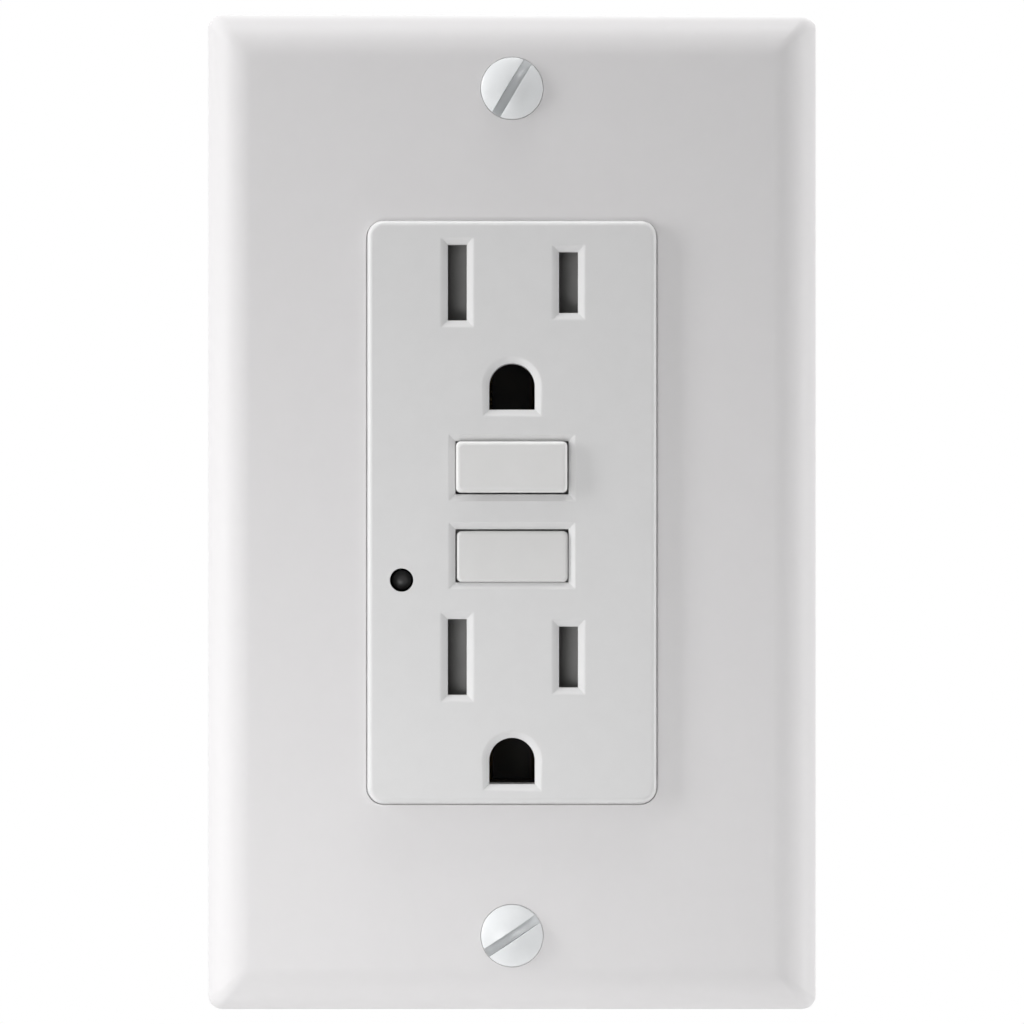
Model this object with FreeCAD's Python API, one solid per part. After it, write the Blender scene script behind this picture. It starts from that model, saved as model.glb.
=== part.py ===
"""Ground-fault duplex receptacle with its wall plate, in millimetres.

X runs to the right, Z up and Y into the wall. The plane y = 0 is the wall surface, on which the mounting
strap and the rim of the wall plate rest, and the origin is the middle of the plate there. The hot side
of the receptacle is at +X and the neutral side at -X, and most pieces of the neutral side mirror the hot.
"""
import FreeCAD, Part
import math
import os

V = FreeCAD.Vector

# Wall plate
plate_width = 69.85
plate_margin = 3.8          # how far the plate reaches past the ends of the strap
plate_depth = 5.6
plate_wall = 2.2
plate_rim = 1.6             # straight part of the edge, from the wall up to the bevel
bevel_run = 5.1             # how far the curved bevel reaches in from the edge
plate_corner = 1.6
opening_gap = 0.15
plate_play = 0.2            # between the plate and the flange behind it
rib_thickness = 1.0
rib_drop = 1.8
rib_reach = 4.5             # from the body's side out to the rib
rib_margin = 9.0            # from the plate's end to the rib's end

# Plate screws
plate_screw_inset = 4.93    # from the strap's end in to the screw
plate_head_radius = 3.535
plate_head_crown = 1.0
countersink_angle = 82.0
plate_screw_length = 12.7
plate_slot_width = 1.15
plate_slot_depth = 1.25
upper_slot_turn = 59.0      # how far each screw's slot stands from level
lower_slot_turn = 33.9

# Face, from its upper end down
outlet_inset = 7.05         # from the face's end to the blades of the upper outlet
ground_drop = 11.87         # from an outlet's blades to its ground pin
reset_drop = 9.28           # from the upper ground pin to the reset button
button_pitch = 10.05
outlet_drop = 11.56         # from the test button to the blades of the lower outlet
ground_inset = 4.82         # from the lower ground pin to the face's end

# Front cover
face_width = 33.0
face_corner = 1.8
face_round = 0.8
face_proud = 1.1
flange_side = 4.85          # how far the body reaches past the face at the sides
flange_end = 1.5            # and at the ends
body_corner = 2.5
cover_wall = 1.8
cover_side = 1.5
skirt_wall = 1.4
skirt_drop = 3.0
collar_wall = 0.9
collar_drop = 0.7

# Outlets
blade_pitch = 12.7
slot_width = 2.05
neutral_slot = 8.65
hot_slot = 6.95
slot_bevel = 0.85
ground_hole_width = 5.2
ground_hole_height = 5.3
ground_bevel = 0.9
bevel_slope = 0.8           # depth of a bevelled mouth against its width
blade_length = 18.2
blade_room = 0.45           # behind the tips of the blades
ground_pin_length = 21.4
ground_pin_radius = 2.4
pin_room = 0.3              # behind the tip of the ground pin

# Buttons
button_width = 12.8
button_height = 5.95
button_gap = 0.13
button_bevel = 0.7
button_round = 0.5
button_skin = 1.2
button_lip = 0.7
lip_thickness = 0.9
test_trim = 0.1             # how much less the test button reaches at each side
reset_proud = 1.0
test_recess = 0.1
reset_travel = 1.6
test_travel = 1.2
reset_rise = 1.0            # how far the reset button would spring out when it trips
stem_width = 2.8
stem_height = 2.4
leaf_thickness = 0.3
leaf_width = 3.2
leaf_level = 1.45           # middle of the test spring's free arm
leaf_bend = 0.8
well_side = 0.5             # how much wider the well is than the buttons at each side
well_end = 1.3              # and at its ends
pin_x = 2.6                 # where the test spring meets its contact pin
pin_size = 0.9

# Indicator
lamp_drop = 2.77            # from the test button down to the indicator
lamp_hole_radius = 1.34
pipe_radius = 1.1
pipe_recess = 0.9
pipe_crown = 0.45
lamp_size = 2.6
lamp_height = 1.6

# Shutters
shutter_travel = 2.6
shutter_base = 0.5
shutter_margin = 0.65       # beyond the ends of the blade slot
shutter_end = 1.8           # beyond the hot slot
shutter_tail = 1.0          # beyond the place of the neutral slot when the shutter has moved
ramp_crest = 0.6
ramp_foot = 0.4
window_margin = 0.3
tray_thickness = 0.5
tray_rail = 0.45
shutter_leaf = 0.25
shutter_leaf_width = 1.6
shutter_leaf_reach = 3.6

# Mounting strap
strap_thickness = 1.3
strap_edge = 0.75           # from the strap's edge to the skirt
neck_side = 0.5             # from the strap's neck to the cover's posts beside it
neck_length = 9.2           # from the body's end to the ear
ear_side = 2.35             # how much less the ear reaches than the body at each side
ear_length = 9.4
ear_corner = 2.5
ear_inset = 1.0             # how much less the neck reaches than the ear
tab_reach = 9.6
tab_length = 7.6
tab_inset = 0.4
tab_root = 6.0
stake_size = 1.6
stake_rise = 0.4
stake_inset = 1.9           # from the end of a ground contact's flange

# Box screws
box_screw_reach = 6.92      # from the body's end out to the screw
box_screw_radius = 1.75
box_screw_length = 24.0
box_neck_radius = 1.4       # where the card grips the screw
box_head_radius = 3.4
box_head = 1.7
box_head_slot = 1.0
box_slot_length = 7.0
box_slot_play = 0.2
box_slot_turn = 20.0
card_thickness = 0.4
card_width = 10.5
card_height = 8.5

# Housings
housing_wall = 1.4
housing_floor = 1.2
rear_wall = 1.6
rear_taper = 0.4
rear_bevel = 0.6
pocket_wall = 1.0
pocket_play = 0.4
pocket_front = 0.75         # where the pockets' walls begin, behind the strap
post_half = 2.5
post_sleeve = 0.4           # how much stouter the rear posts are than the cover's
post_drop = 8.0
housing_screw_radius = 1.4
housing_head_radius = 2.6
housing_head = 2.0
head_recess = 0.2
recess_width = 0.7
recess_length = 3.4
recess_depth = 0.9
screw_bite = 1.6            # how near the housing screws come to the cover's flange
guide_wall = 1.4
peg_x = 6.6
peg_size = 1.5
peg_drop = 0.3
back_groove_width = 1.6
back_groove_length = 16.0
back_groove_depth = 0.5

# Ground contacts
ground_sheet = 0.6
ground_flange = 8.4         # half width of a ground contact's flange
ground_flange_margin = 1.6
ground_leg = 5.6
ground_leg_bend = 0.7
ground_pinch = 0.15         # gap between a leg and the ground pin
leg_room = 1.5              # from the ground pin out to the root of a leg
leg_knee = 3.9              # how deep a leg runs straight
leg_waist = 9.4             # how deep a leg grips the pin
leg_flare = 1.0             # from the pin out to the leg's end

# Contacts and terminals
brass = 0.8
brass_bend = 0.9
finger_sheet = 0.5
finger_bend = 0.45
finger_width = 6.0
finger_pinch = 1.1          # gap that a blade spreads
finger_spread = 1.2
finger_tip = 9.6            # from the face to the tips of the fingers
finger_neck = 1.9           # from the tips to the pinch
finger_heel = 5.6           # from the tips to where the fingers run straight
bus_width = 2.8
bus_play = 0.15             # between a load contact and the floor behind it
load_drop = 9.2             # from the upper blades down to the load terminals
line_drop = 0.44            # from the lower blades down to the line terminals
terminal_width = 9.2
terminal_front = 0.8        # from the skirt to the terminal plate
terminal_margin = 1.3       # from the skirt to the terminal screws' heads
terminal_screw_radius = 2.05
terminal_screw_reach = 4.6
terminal_head_radius = 4.1
terminal_head = 2.1
terminal_proud = 0.15
terminal_slot_width = 1.2
terminal_slot_depth = 1.0
clamp_thickness = 0.9
clamp_size = 8.4
wire_gap = 0.2
groove_depth = 0.4
groove_half = 0.7
wire_slot_width = 2.2
wire_slot_length = 3.2
channel_reach = 1.5         # from a terminal in to its wire channel's wall
strip_width = 3.0
strip_back = 2.9            # how far inside the terminal plate the line strip turns back
strip_x = 1.9               # middle of the line strip inside the sensing coils
strip_gap = 0.7             # from the line strip to the board
contact_drop = 4.05         # from the reset button down to the switching contacts
contact_size = 2.2
contact_head = 0.9
contact_sunk = 0.85         # share of a contact's head in front of the arm
contact_gap = 0.05
arm_thickness = 0.4
arm_width = 2.4
arm_lift = 0.6              # from the floor's back to the middle of the arms
arm_root_rise = 6.0         # from the line terminals up to where the arms bend
arm_end = 1.0               # from the reset button up to the arms' ends
green_head_across = 7.9
green_head = 2.3
green_washer = 0.6
green_washer_rim = 0.5
green_slot_width = 1.1
green_slot_depth = 1.0
green_screw_length = 7.5
green_screw_y = 5.2

# Trip mechanism
shaft_radius = 1.6
shaft_neck = 1.0
shaft_tip = 1.4
shoulder_taper = 0.4
spring_wire = 0.45
spring_turns = 3
spring_pitch = 1.05         # room for each turn when the spring is pressed
spring_radius = 2.45
plunger_travel = 1.8
carriage_drop = 1.2
plunger_radius = 2.0
plunger_pin = 0.9
plunger_head = 1.6
plunger_collar = 0.8
collar_reach = 0.6          # from the plunger's side out to the collar's rim
collar_gap = 0.4            # from the ground contacts' cups to the collar
plunger_room = 2.0
plunger_spring_wire = 0.35
frame_spring = 4.4          # room for the plunger's spring before the frame
hook_head = 0.6
hook_play = 0.15
hook_room = 8.1             # from the hook to the frame
coil_form = 8.6
form_lift = 0.5             # from the housing's floor to the bobbin
coil_form_wall = 0.8
coil_tube_wall = 0.7
winding_play = 0.2
frame_sheet = 0.9
latch_sheet = 0.8
latch_half = 3.2
latch_tab = 0.7
latch_low = 4.6             # from the reset button down to the latch's lower end
carriage_half = 4.6
carriage_low = 4.9
carriage_high = 3.1
wing_low = 1.7
wing_high = 1.15
wing_thickness = 1.4
wing_margin = 0.4
foot_thickness = 3.0
foot_margin = 1.8
carriage_wall = 2.0

# Sensing coils
cup_wall = 1.0
cup_bottom = 0.6
sense_radius = 7.6
sense_bore = 3.9
ring_play = 0.2
holder_wall = 0.6
holder_leg = 1.5
holder_leg_inset = 1.2

# Circuit board and what stands on it
board_thickness = 1.6
board_side = 2.1            # from the board's edge to the terminals
board_end = 2.15            # from the board's end to the rear wall
board_rail = 0.9
rail_thickness = 1.2
rail_inset = 3.8
rail_margin = 8.0
lead = 0.4
chip_x = -12.0
chip_rise = 2.95            # from the reset button up to the chip
chip_width = 3.8
chip_length = 4.8
chip_height = 1.4
chip_lift = 0.2
chip_leg = 0.7
chip_pitch = 1.27
absorber_inset = 4.6
absorber_rise = 0.6
absorber_radius = 3.9
absorber_thickness = 2.6
absorber_lift = 1.2
absorber_leads = 2.0
capacitor_inset = 4.6
capacitor_drop = 2.0
capacitor_radius = 3.0
capacitor_length = 7.3
capacitor_lift = 0.3
resistor_x = 9.6
resistor_radius = 1.1
resistor_length = 5.0
resistor_leg = 1.2
resistor_lift = 0.3
diode_x = 11.4
diode_drop = 3.05           # from the reset button down to the first diode
diode_pitch = 3.0
diode_length = 4.2
diode_width = 2.4
diode_height = 2.0
diode_tab = 0.5
diode_lift = 0.2

# Clearances
slide = 0.1                 # between a moving piece and its guide
seat = 0.05                 # between pieces that are laid together
gap = 0.25                  # between pieces that only pass each other
overlap = 0.5               # how deep pieces of one solid run into each other

# Heights on the face
face_height = outlet_inset + 2 * ground_drop + reset_drop + button_pitch + outlet_drop + ground_inset
upper_blade = face_height / 2 - outlet_inset
upper_ground = upper_blade - ground_drop
reset_line = upper_ground - reset_drop
test_line = reset_line - button_pitch
lower_blade = test_line - outlet_drop
lower_ground = lower_blade - ground_drop
blade_lines = (upper_blade, lower_blade)
ground_lines = (upper_ground, lower_ground)
lamp_z = test_line - lamp_drop
load_line = upper_blade - load_drop
line_line = lower_blade - line_drop
terminal_lines = (load_line, line_line)
contact_line = reset_line - contact_drop
arm_root = line_line + arm_root_rise

# Body, strap and plate
body_width = face_width + 2 * flange_side
body_height = face_height + 2 * flange_end
ear_z = body_height / 2 + neck_length
ear_width = body_width - 2 * ear_side
strap_length = 2 * (ear_z + ear_length)
plate_height = strap_length + 2 * plate_margin
box_screw_z = body_height / 2 + box_screw_reach
plate_screw_z = strap_length / 2 - plate_screw_inset
green_screw_z = -ear_z + tab_inset + tab_length / 2

# Levels along Y, from the face to the back
plate_front = -plate_depth
plate_inside = plate_front + plate_wall
face_front = plate_front - face_proud
face_inside = face_front + cover_wall
strap_front = -strap_thickness
flange_front = plate_inside + plate_play
blade_tip = face_front + blade_length
ground_tip = face_front + ground_pin_length
terminal_y = skirt_drop + terminal_head_radius + terminal_margin
bus_front = blade_tip + blade_room
bus_back = bus_front + finger_sheet
floor_front = max(bus_back + bus_play, terminal_y + clamp_size / 2)
floor_back = floor_front + housing_floor
cup_floor = ground_tip + pin_room
cup_back = cup_floor + cup_bottom
arm_level = floor_back + arm_lift
carriage_top = arm_level + arm_thickness / 2 + slide
collar_radius = plunger_radius + collar_reach
coil_axis = max(floor_back + form_lift + coil_form / 2, cup_back + collar_gap + collar_radius)
latch_level = coil_axis - hook_head
shoulder_level = latch_level + latch_sheet / 2 + seat
carriage_back = latch_level + latch_sheet / 2 + carriage_wall
frame_back = coil_axis + coil_form / 2 + gap + frame_sheet
board_front = frame_back + seat
board_back = board_front + board_thickness
rear_inside = board_back + board_rail
rear_back = rear_inside + rear_wall
collar_end = face_inside + collar_drop
reset_front = face_front - reset_proud
reset_lip = collar_end + reset_rise
reset_back = reset_lip + lip_thickness
test_front = face_front + test_recess
test_lip = collar_end + slide
boss_front = reset_back + reset_travel + spring_turns * spring_pitch
strip_level = board_front - strip_gap - brass / 2
moving_contact_front = arm_level - arm_thickness / 2 - contact_head * contact_sunk
fixed_contact_back = moving_contact_front - contact_gap
coil_top = max(arm_level + brass / 2 + gap, cup_back + 2 * slide)
coil_bottom = strip_level - brass / 2 - 2 * slide
ring_height = (coil_bottom - coil_top - 3 * holder_wall) / 2
tray_back = strap_front - seat
tray_front = tray_back - tray_thickness
shutter_back = tray_front - slide
shutter_front = face_inside + slide + seat
head_level = rear_back - head_recess - housing_head

# Places across the face
blade_x = blade_pitch / 2
slot_edge = blade_x + slot_width / 2
finger_x = finger_pinch / 2 + finger_spread
bus_x = blade_x + finger_x + slide + bus_width / 2
lamp_x = -(bus_x + bus_width / 2 + 2 * gap + pipe_radius)
skirt_x = body_width / 2 - skirt_wall
skirt_z = body_height / 2 - skirt_wall
strap_x = skirt_x - strap_edge
inner_x = body_width / 2 - rear_wall - gap
inner_z = body_height / 2 - rear_wall - gap
post_x = inner_x - post_half
post_z = inner_z - post_half
neck_width = 2 * (post_x - post_half - neck_side)
notch_x = post_x - post_half - post_sleeve - gap
notch_z = post_z - post_half - post_sleeve - gap
post_places = [(sx * post_x, sz * post_z) for sx in (1, -1) for sz in (1, -1)]
terminal_x = body_width / 2 + terminal_proud - terminal_head - clamp_thickness - wire_gap - brass / 2
terminal_half = terminal_width / 2 + pocket_play
channel_x = terminal_x - channel_reach
board_x = terminal_x - board_side
board_z = body_height / 2 - rear_wall - board_end
rail_x = board_x - rail_inset
well_x = button_width / 2 + well_side
well_high = reset_line + button_height / 2 + well_end
well_low = test_line - button_height / 2 - well_end
cup_half = ground_pin_radius + cup_bottom
stake_x = ground_flange - stake_inset
leg_window = ground_pin_radius + leg_room
hook_front = reset_line + shaft_radius + plunger_travel + plunger_collar + overlap
frame_low = max(upper_ground + cup_half + cup_wall + gap, hook_front + hook_room)
frame_high = body_height / 2 - rear_wall - 2 * gap
shutter_high = slot_edge + shutter_end
shutter_low = -slot_edge - shutter_travel - shutter_tail
shutter_half = neutral_slot / 2 + shutter_margin
tray_high = post_x - post_half - gap


def box(x0, x1, y0, y1, z0, z1):
    return Part.makeBox(x1 - x0, y1 - y0, z1 - z0, V(x0, y0, z0))


def pillar(half_x, half_z, y0, y1, x=0.0, z=0.0):
    """Rectangular block along Y round a centre."""
    return box(x - half_x, x + half_x, y0, y1, z - half_z, z + half_z)


def rod(radius, start, end):
    """Cylinder from one point to another."""
    along = end - start
    return Part.makeCylinder(radius, along.Length, start, along)


def rod_x(radius, x0, x1, y, z):
    return rod(radius, V(x0, y, z), V(x1, y, z))


def rod_y(radius, y0, y1, x=0.0, z=0.0):
    return rod(radius, V(x, y0, z), V(x, y1, z))


def rod_z(radius, z0, z1, y=0.0):
    return rod(radius, V(0, y, z0), V(0, y, z1))


def cone_y(radius0, radius1, y0, y1, x=0.0, z=0.0):
    return Part.makeCone(radius0, radius1, y1 - y0, V(x, y0, z), V(0, 1, 0))


def mirrored(shape):
    """The same piece on the neutral side."""
    return shape.mirror(V(0, 0, 0), V(1, 0, 0))


def turned_over(shape):
    """The same piece at the other end."""
    return shape.mirror(V(0, 0, 0), V(0, 0, 1))


def both_sides(shape):
    return [shape, mirrored(shape)]


def both_ends(shape):
    return [shape, turned_over(shape)]


def joined(shapes):
    result = shapes[0]
    if len(shapes) > 1:
        result = shapes[0].fuse(shapes[1:])
    return result.removeSplitter()


def rounded_wire(width, height, radius, y, x=0.0, z=0.0):
    """Rectangle with round corners in the plane at y."""
    a = width / 2
    b = height / 2
    r = min(radius, 0.49 * width, 0.49 * height)
    edges = []
    for sx, sz, turn in ((1, 1, 0), (-1, 1, 90), (-1, -1, 180), (1, -1, 270)):
        centre = V(x + sx * (a - r), y, z + sz * (b - r))
        points = []
        for angle in (turn, turn + 45, turn + 90):
            t = math.radians(angle)
            points.append(centre + V(r * math.cos(t), 0, r * math.sin(t)))
        if edges:
            before = edges[-1].valueAt(edges[-1].LastParameter)
            edges.append(Part.LineSegment(before, points[0]).toShape())
        edges.append(Part.Arc(*points).toShape())
    start = edges[0].valueAt(edges[0].FirstParameter)
    before = edges[-1].valueAt(edges[-1].LastParameter)
    edges.append(Part.LineSegment(before, start).toShape())
    return Part.Wire(edges)


def slab(width, height, radius, y0, y1, z=0.0):
    """Plate with round corners between two levels."""
    return Part.Face(rounded_wire(width, height, radius, y0, 0, z)).extrude(V(0, y1 - y0, 0))


def front_rim(solid, level):
    """Edges of a solid that lie in the plane at that level."""
    return [e for e in solid.Edges if max(abs(v.Y - level) for v in e.Vertexes) < 1e-6]


def mouth(x, z, width, height, bevel):
    """Cutters for a rectangular hole through the face, with its bevelled edge."""
    def outline(y, grow):
        a = width / 2 + grow
        b = height / 2 + grow
        corners = [V(x - a, y, z - b), V(x + a, y, z - b), V(x + a, y, z + b), V(x - a, y, z + b)]
        return Part.makePolygon(corners + corners[:1])

    through = pillar(width / 2, height / 2, face_front - 1, collar_end + 1, x, z)
    bevelled = [outline(face_front, bevel), outline(face_front + bevel * bevel_slope, 0)]
    return [through, Part.makeLoft(bevelled, True, True)]


def ground_wire(y, grow, z):
    """Outline of a ground hole: flat below and half round above."""
    r = ground_hole_width / 2 + grow
    top = z + ground_hole_height / 2 - ground_hole_width / 2
    bottom = z - ground_hole_height / 2 - grow
    right = V(r, y, top)
    left = V(-r, y, top)
    return Part.Wire([
        Part.LineSegment(V(-r, y, bottom), V(r, y, bottom)).toShape(),
        Part.LineSegment(V(r, y, bottom), right).toShape(),
        Part.Arc(right, V(0, y, top + r), left).toShape(),
        Part.LineSegment(left, V(-r, y, bottom)).toShape(),
    ])


def ground_mouth(z):
    """Cutters for a ground hole with its bevelled edge."""
    through = Part.Face(ground_wire(face_front - 1, 0, z)).extrude(V(0, strap_front - face_front + 2, 0))
    bevel_end = face_front + ground_bevel * bevel_slope
    wires = [ground_wire(face_front, ground_bevel, z), ground_wire(bevel_end, 0, z)]
    return [through, Part.makeLoft(wires, True, True)]


def in_plane(plane, a, b, c):
    """Point a, b of a flat drawing, set at the level c of the plane that it lies in."""
    return {"xy": V(a, b, c), "yz": V(c, a, b), "xz": V(a, c, b)}[plane]


def strip_side(points, offset, bend):
    """One side of a bent strip: points of its lines and arcs, at an offset from the middle line."""
    runs = []
    ends = [V(p[0], p[1], 0) for p in points]
    for before, corner, after in zip(ends, ends[1:], ends[2:]):
        d0 = (corner - before).normalize()
        d1 = (after - corner).normalize()
        turn = math.atan2(d0.x * d1.y - d0.y * d1.x, d0.dot(d1))
        side = 1 if turn > 0 else -1
        tangent = bend * math.tan(abs(turn) / 2)
        n0 = V(-d0.y, d0.x, 0)
        n1 = V(-d1.y, d1.x, 0)
        centre = corner - d0 * tangent + n0 * (side * bend)
        outwards = (corner - centre).normalize()
        runs.append((
            corner - d0 * tangent + n0 * offset,
            centre + outwards * (bend - side * offset),
            corner + d1 * tangent + n1 * offset,
        ))
    first = (ends[1] - ends[0]).normalize()
    last = (ends[-1] - ends[-2]).normalize()
    start = ends[0] + V(-first.y, first.x, 0) * offset
    finish = ends[-1] + V(-last.y, last.x, 0) * offset
    return start, runs, finish


def folded_sheet(points, thickness, bend, plane, low, high):
    """Sheet metal that follows a bent line in one plane and runs from low to high across it."""
    def place(p):
        return in_plane(plane, p.x, p.y, low)

    edges = []
    sides = [strip_side(points, offset, bend) for offset in (thickness / 2, -thickness / 2)]
    for start, runs, finish in sides:
        at = start
        for a, b, c in runs:
            edges.append(Part.LineSegment(place(at), place(a)).toShape())
            edges.append(Part.Arc(place(a), place(b), place(c)).toShape())
            at = c
        edges.append(Part.LineSegment(place(at), place(finish)).toShape())
    for end in (0, 2):
        edges.append(Part.LineSegment(place(sides[0][end]), place(sides[1][end])).toShape())
    outline = Part.Wire(Part.__sortEdges__(edges))
    return Part.Face(outline).extrude(in_plane(plane, 0, 0, high - low))


def polygon_prism(points, plane, low, high):
    """Prism over a straight-sided outline."""
    corners = [in_plane(plane, a, b, low) for a, b in points]
    return Part.Face(Part.makePolygon(corners + corners[:1])).extrude(in_plane(plane, 0, 0, high - low))


def arc_from_tangent(start, handle, end):
    """Round arc from start to end that leaves start towards handle."""
    middle = (start + end) * 0.5
    half = (end - start).Length / 2
    rise = (handle - middle).Length
    radius = half * math.hypot(half, rise) / rise
    apex = middle + (handle - middle).normalize() * (radius - math.sqrt(radius ** 2 - half ** 2))
    return Part.Arc(start, apex, end).toShape()


def coil_spring(radius, wire, turns, length, base, axis, across):
    """Helical spring of square wire, made of two tangent arcs for each half turn."""
    axis = V(axis).normalize()
    across = V(across).normalize()
    third = axis.cross(across)
    rise = (length - wire) / (2 * math.pi * turns)

    def point(t):
        turned = across * (radius * math.cos(t)) + third * (radius * math.sin(t))
        return base + axis * (wire / 2 + rise * t) + turned

    def heading(t):
        return (third * (radius * math.cos(t)) - across * (radius * math.sin(t)) + axis * rise).normalize()

    edges = []
    step = math.pi
    for i in range(int(turns * 2)):
        p0 = point(i * step)
        p1 = point(i * step + step)
        t0 = heading(i * step)
        t1 = heading(i * step + step)
        reach = p1 - p0
        a = 2 * t0.dot(t1) - 2
        b = -2 * reach.dot(t0 + t1)
        c = reach.dot(reach)
        handle = (-b - math.sqrt(b * b - 4 * a * c)) / (2 * a)
        joint = (p0 + t0 * handle + p1 - t1 * handle) * 0.5
        edges.append(arc_from_tangent(p0, p0 + t0 * handle, joint))
        edges.append(arc_from_tangent(joint, p1 - t1 * handle, p1))
    normal = axis.cross(heading(0)).normalize()
    other = heading(0).cross(normal)
    corners = []
    for sn, so in ((1, 1), (-1, 1), (-1, -1), (1, -1)):
        corners.append(point(0) + (normal * sn + other * so) * (wire / 2))
    section = Part.makePolygon(corners + corners[:1])
    return Part.Wire(edges).makePipeShell([section], True, False)


def turned_slot(length, width, depth, top, z, turn):
    """Cutter for the driver's slot in a head that faces -Y."""
    cutter = pillar(length, width / 2, top - 1, top + depth)
    cutter.rotate(V(0, 0, 0), V(0, 1, 0), -turn)
    cutter.translate(V(0, 0, z))
    return cutter


def plate_section(reach, front, radius, run):
    """Half outline of the plate's cross-section, from the wall plane round the curved bevel to the front."""
    edge = front + radius - math.sqrt(radius ** 2 - run ** 2)
    centre = V(reach - run, front + radius, 0)
    start = V(reach, edge, 0)
    angle = (math.atan2(start.y - centre.y, start.x - centre.x) - math.pi / 2) / 2
    middle = centre + V(radius * math.cos(angle), radius * math.sin(angle), 0)
    return start, middle, V(reach - run, front, 0)


def plate_bar(reach, front, radius, run, length, plane):
    """Bar with the plate's bevelled cross-section, as long as the plate along the other way."""
    start, middle, end = plate_section(reach, front, radius, run)

    def place(p, side):
        a, b = (side * p.x, p.y) if plane == "xy" else (p.y, side * p.x)
        return in_plane(plane, a, b, -length / 2)

    edges = []
    for side in (1, -1):
        edges.append(Part.Arc(place(start, side), place(middle, side), place(end, side)).toShape())
        edges.append(Part.LineSegment(place(V(reach, 0, 0), side), place(start, side)).toShape())
    for p in (V(reach, 0, 0), end):
        edges.append(Part.LineSegment(place(p, 1), place(p, -1)).toShape())
    outline = Part.Wire(Part.__sortEdges__(edges))
    return Part.Face(outline).extrude(in_plane(plane, 0, 0, length))


def plate_form(width, height, front, radius, run):
    """Dish of the wall plate: where two bevelled bars cross, their bevels meet in mitred corners."""
    across = plate_bar(width / 2, front, radius, run, height, "xy")
    upright = plate_bar(height / 2, front, radius, run, width, "yz")
    return across.common(upright)


def countersink_depth(wide, narrow):
    return (wide - narrow) / math.tan(math.radians(countersink_angle / 2))


def make_wall_plate():
    rise = plate_depth - plate_rim
    radius = (bevel_run ** 2 + rise ** 2) / (2 * rise)
    outer = plate_form(plate_width, plate_height, plate_front, radius, bevel_run)
    outer = outer.common(slab(plate_width, plate_height, plate_corner, plate_front - 1, 0))
    inner_radius = radius - plate_wall
    inner_run = min(inner_radius * 0.99, bevel_run - slide)
    shrink = 2 * (bevel_run - inner_run)
    inner = plate_form(plate_width - shrink, plate_height - shrink, plate_inside, inner_radius, inner_run)
    plate = outer.cut(inner)
    rib_front = plate_inside - overlap / 2
    rib_x = body_width / 2 + rib_reach
    rib = pillar(rib_thickness / 2, plate_height / 2 - rib_margin, rib_front, plate_inside + rib_drop, rib_x)
    hole = box_screw_radius + gap
    wide = plate_head_radius + slide
    sink = countersink_depth(wide, hole)
    boss = rod_y(plate_head_radius - gap, rib_front, strap_front - seat, 0, plate_screw_z)
    cutters = [slab(face_width + 2 * opening_gap, face_height + 2 * opening_gap, face_corner + opening_gap,
                    plate_front - 1, 1)]
    cutters += both_ends(rod_y(hole, plate_front - 1, 1, 0, plate_screw_z))
    cutters += both_ends(cone_y(wide, hole, plate_front, plate_front + sink, 0, plate_screw_z))
    return plate.fuse(both_sides(rib) + both_ends(boss)).cut(cutters).removeSplitter()


def make_plate_screws():
    """Oval-head screws: a crown over a countersunk cone, slotted."""
    shank = box_screw_radius - seat
    sink = countersink_depth(plate_head_radius, shank)
    top = plate_front - plate_head_crown
    ball = (plate_head_radius ** 2 + plate_head_crown ** 2) / (2 * plate_head_crown)
    screws = []
    for z, turn in ((plate_screw_z, upper_slot_turn), (-plate_screw_z, lower_slot_turn)):
        dome = Part.makeSphere(ball, V(0, top + ball, z))
        dome = dome.common(rod_y(plate_head_radius, top - 1, plate_front, 0, z))
        cone = cone_y(plate_head_radius, shank, plate_front, plate_front + sink, 0, z)
        screw = joined([dome, cone, rod_y(shank, plate_front + sink, plate_front + plate_screw_length, 0, z)])
        slot = turned_slot(2 * plate_head_radius, plate_slot_width, plate_slot_depth, top, z, turn)
        screws.append(screw.cut(slot))
    return screws


def make_front_cover():
    """Face, flange and skirt in one moulding, with collars behind its holes and posts for the screws."""
    face = slab(face_width, face_height, face_corner, face_front, flange_front + overlap)
    face = face.makeFillet(face_round, front_rim(face, face_front))
    flange = slab(body_width, body_height, body_corner, flange_front, skirt_drop)
    hollow_x = face_width / 2 - cover_side
    hollow_z = face_height / 2 - cover_side
    neck = box(-neck_width / 2 - gap, neck_width / 2 + gap, strap_front, skirt_drop + 1, skirt_z - 1,
               body_height / 2 + 1)
    cover = face.fuse(flange).cut([
        pillar(skirt_x, skirt_z, strap_front, skirt_drop + 1),
        pillar(hollow_x, hollow_z, face_inside, strap_front + 1),
    ] + both_ends(neck))
    added = []
    cutters = []
    half_x = button_width / 2 + button_gap
    half_z = button_height / 2 + button_gap
    for z in (reset_line, test_line):
        added.append(pillar(half_x + collar_wall, half_z + collar_wall, face_inside - overlap, collar_end,
                            0, z))
        cutters += mouth(0, z, 2 * half_x, 2 * half_z, button_bevel)
    half_x = ground_hole_width / 2 + collar_wall
    half_z = ground_hole_height / 2 + collar_wall
    for z in ground_lines:
        added.append(pillar(half_x, half_z, face_inside - overlap, strap_front - slide, 0, z))
        cutters += ground_mouth(z)
    for z in blade_lines:
        cutters += mouth(blade_x, z, slot_width, hot_slot, slot_bevel)
        cutters += mouth(-blade_x, z, slot_width, neutral_slot, slot_bevel)
    cutters.append(rod_y(lamp_hole_radius, face_front - 1, skirt_drop + 1, lamp_x, lamp_z))
    for x, z in post_places:
        added.append(pillar(post_half, post_half, strap_front - overlap, post_drop, x, z))
        bore_front = flange_front + screw_bite / 2
        cutters.append(rod_y(housing_screw_radius + seat, bore_front, post_drop + 1, x, z))
    return cover.fuse(added).cut(cutters).removeSplitter()


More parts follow.
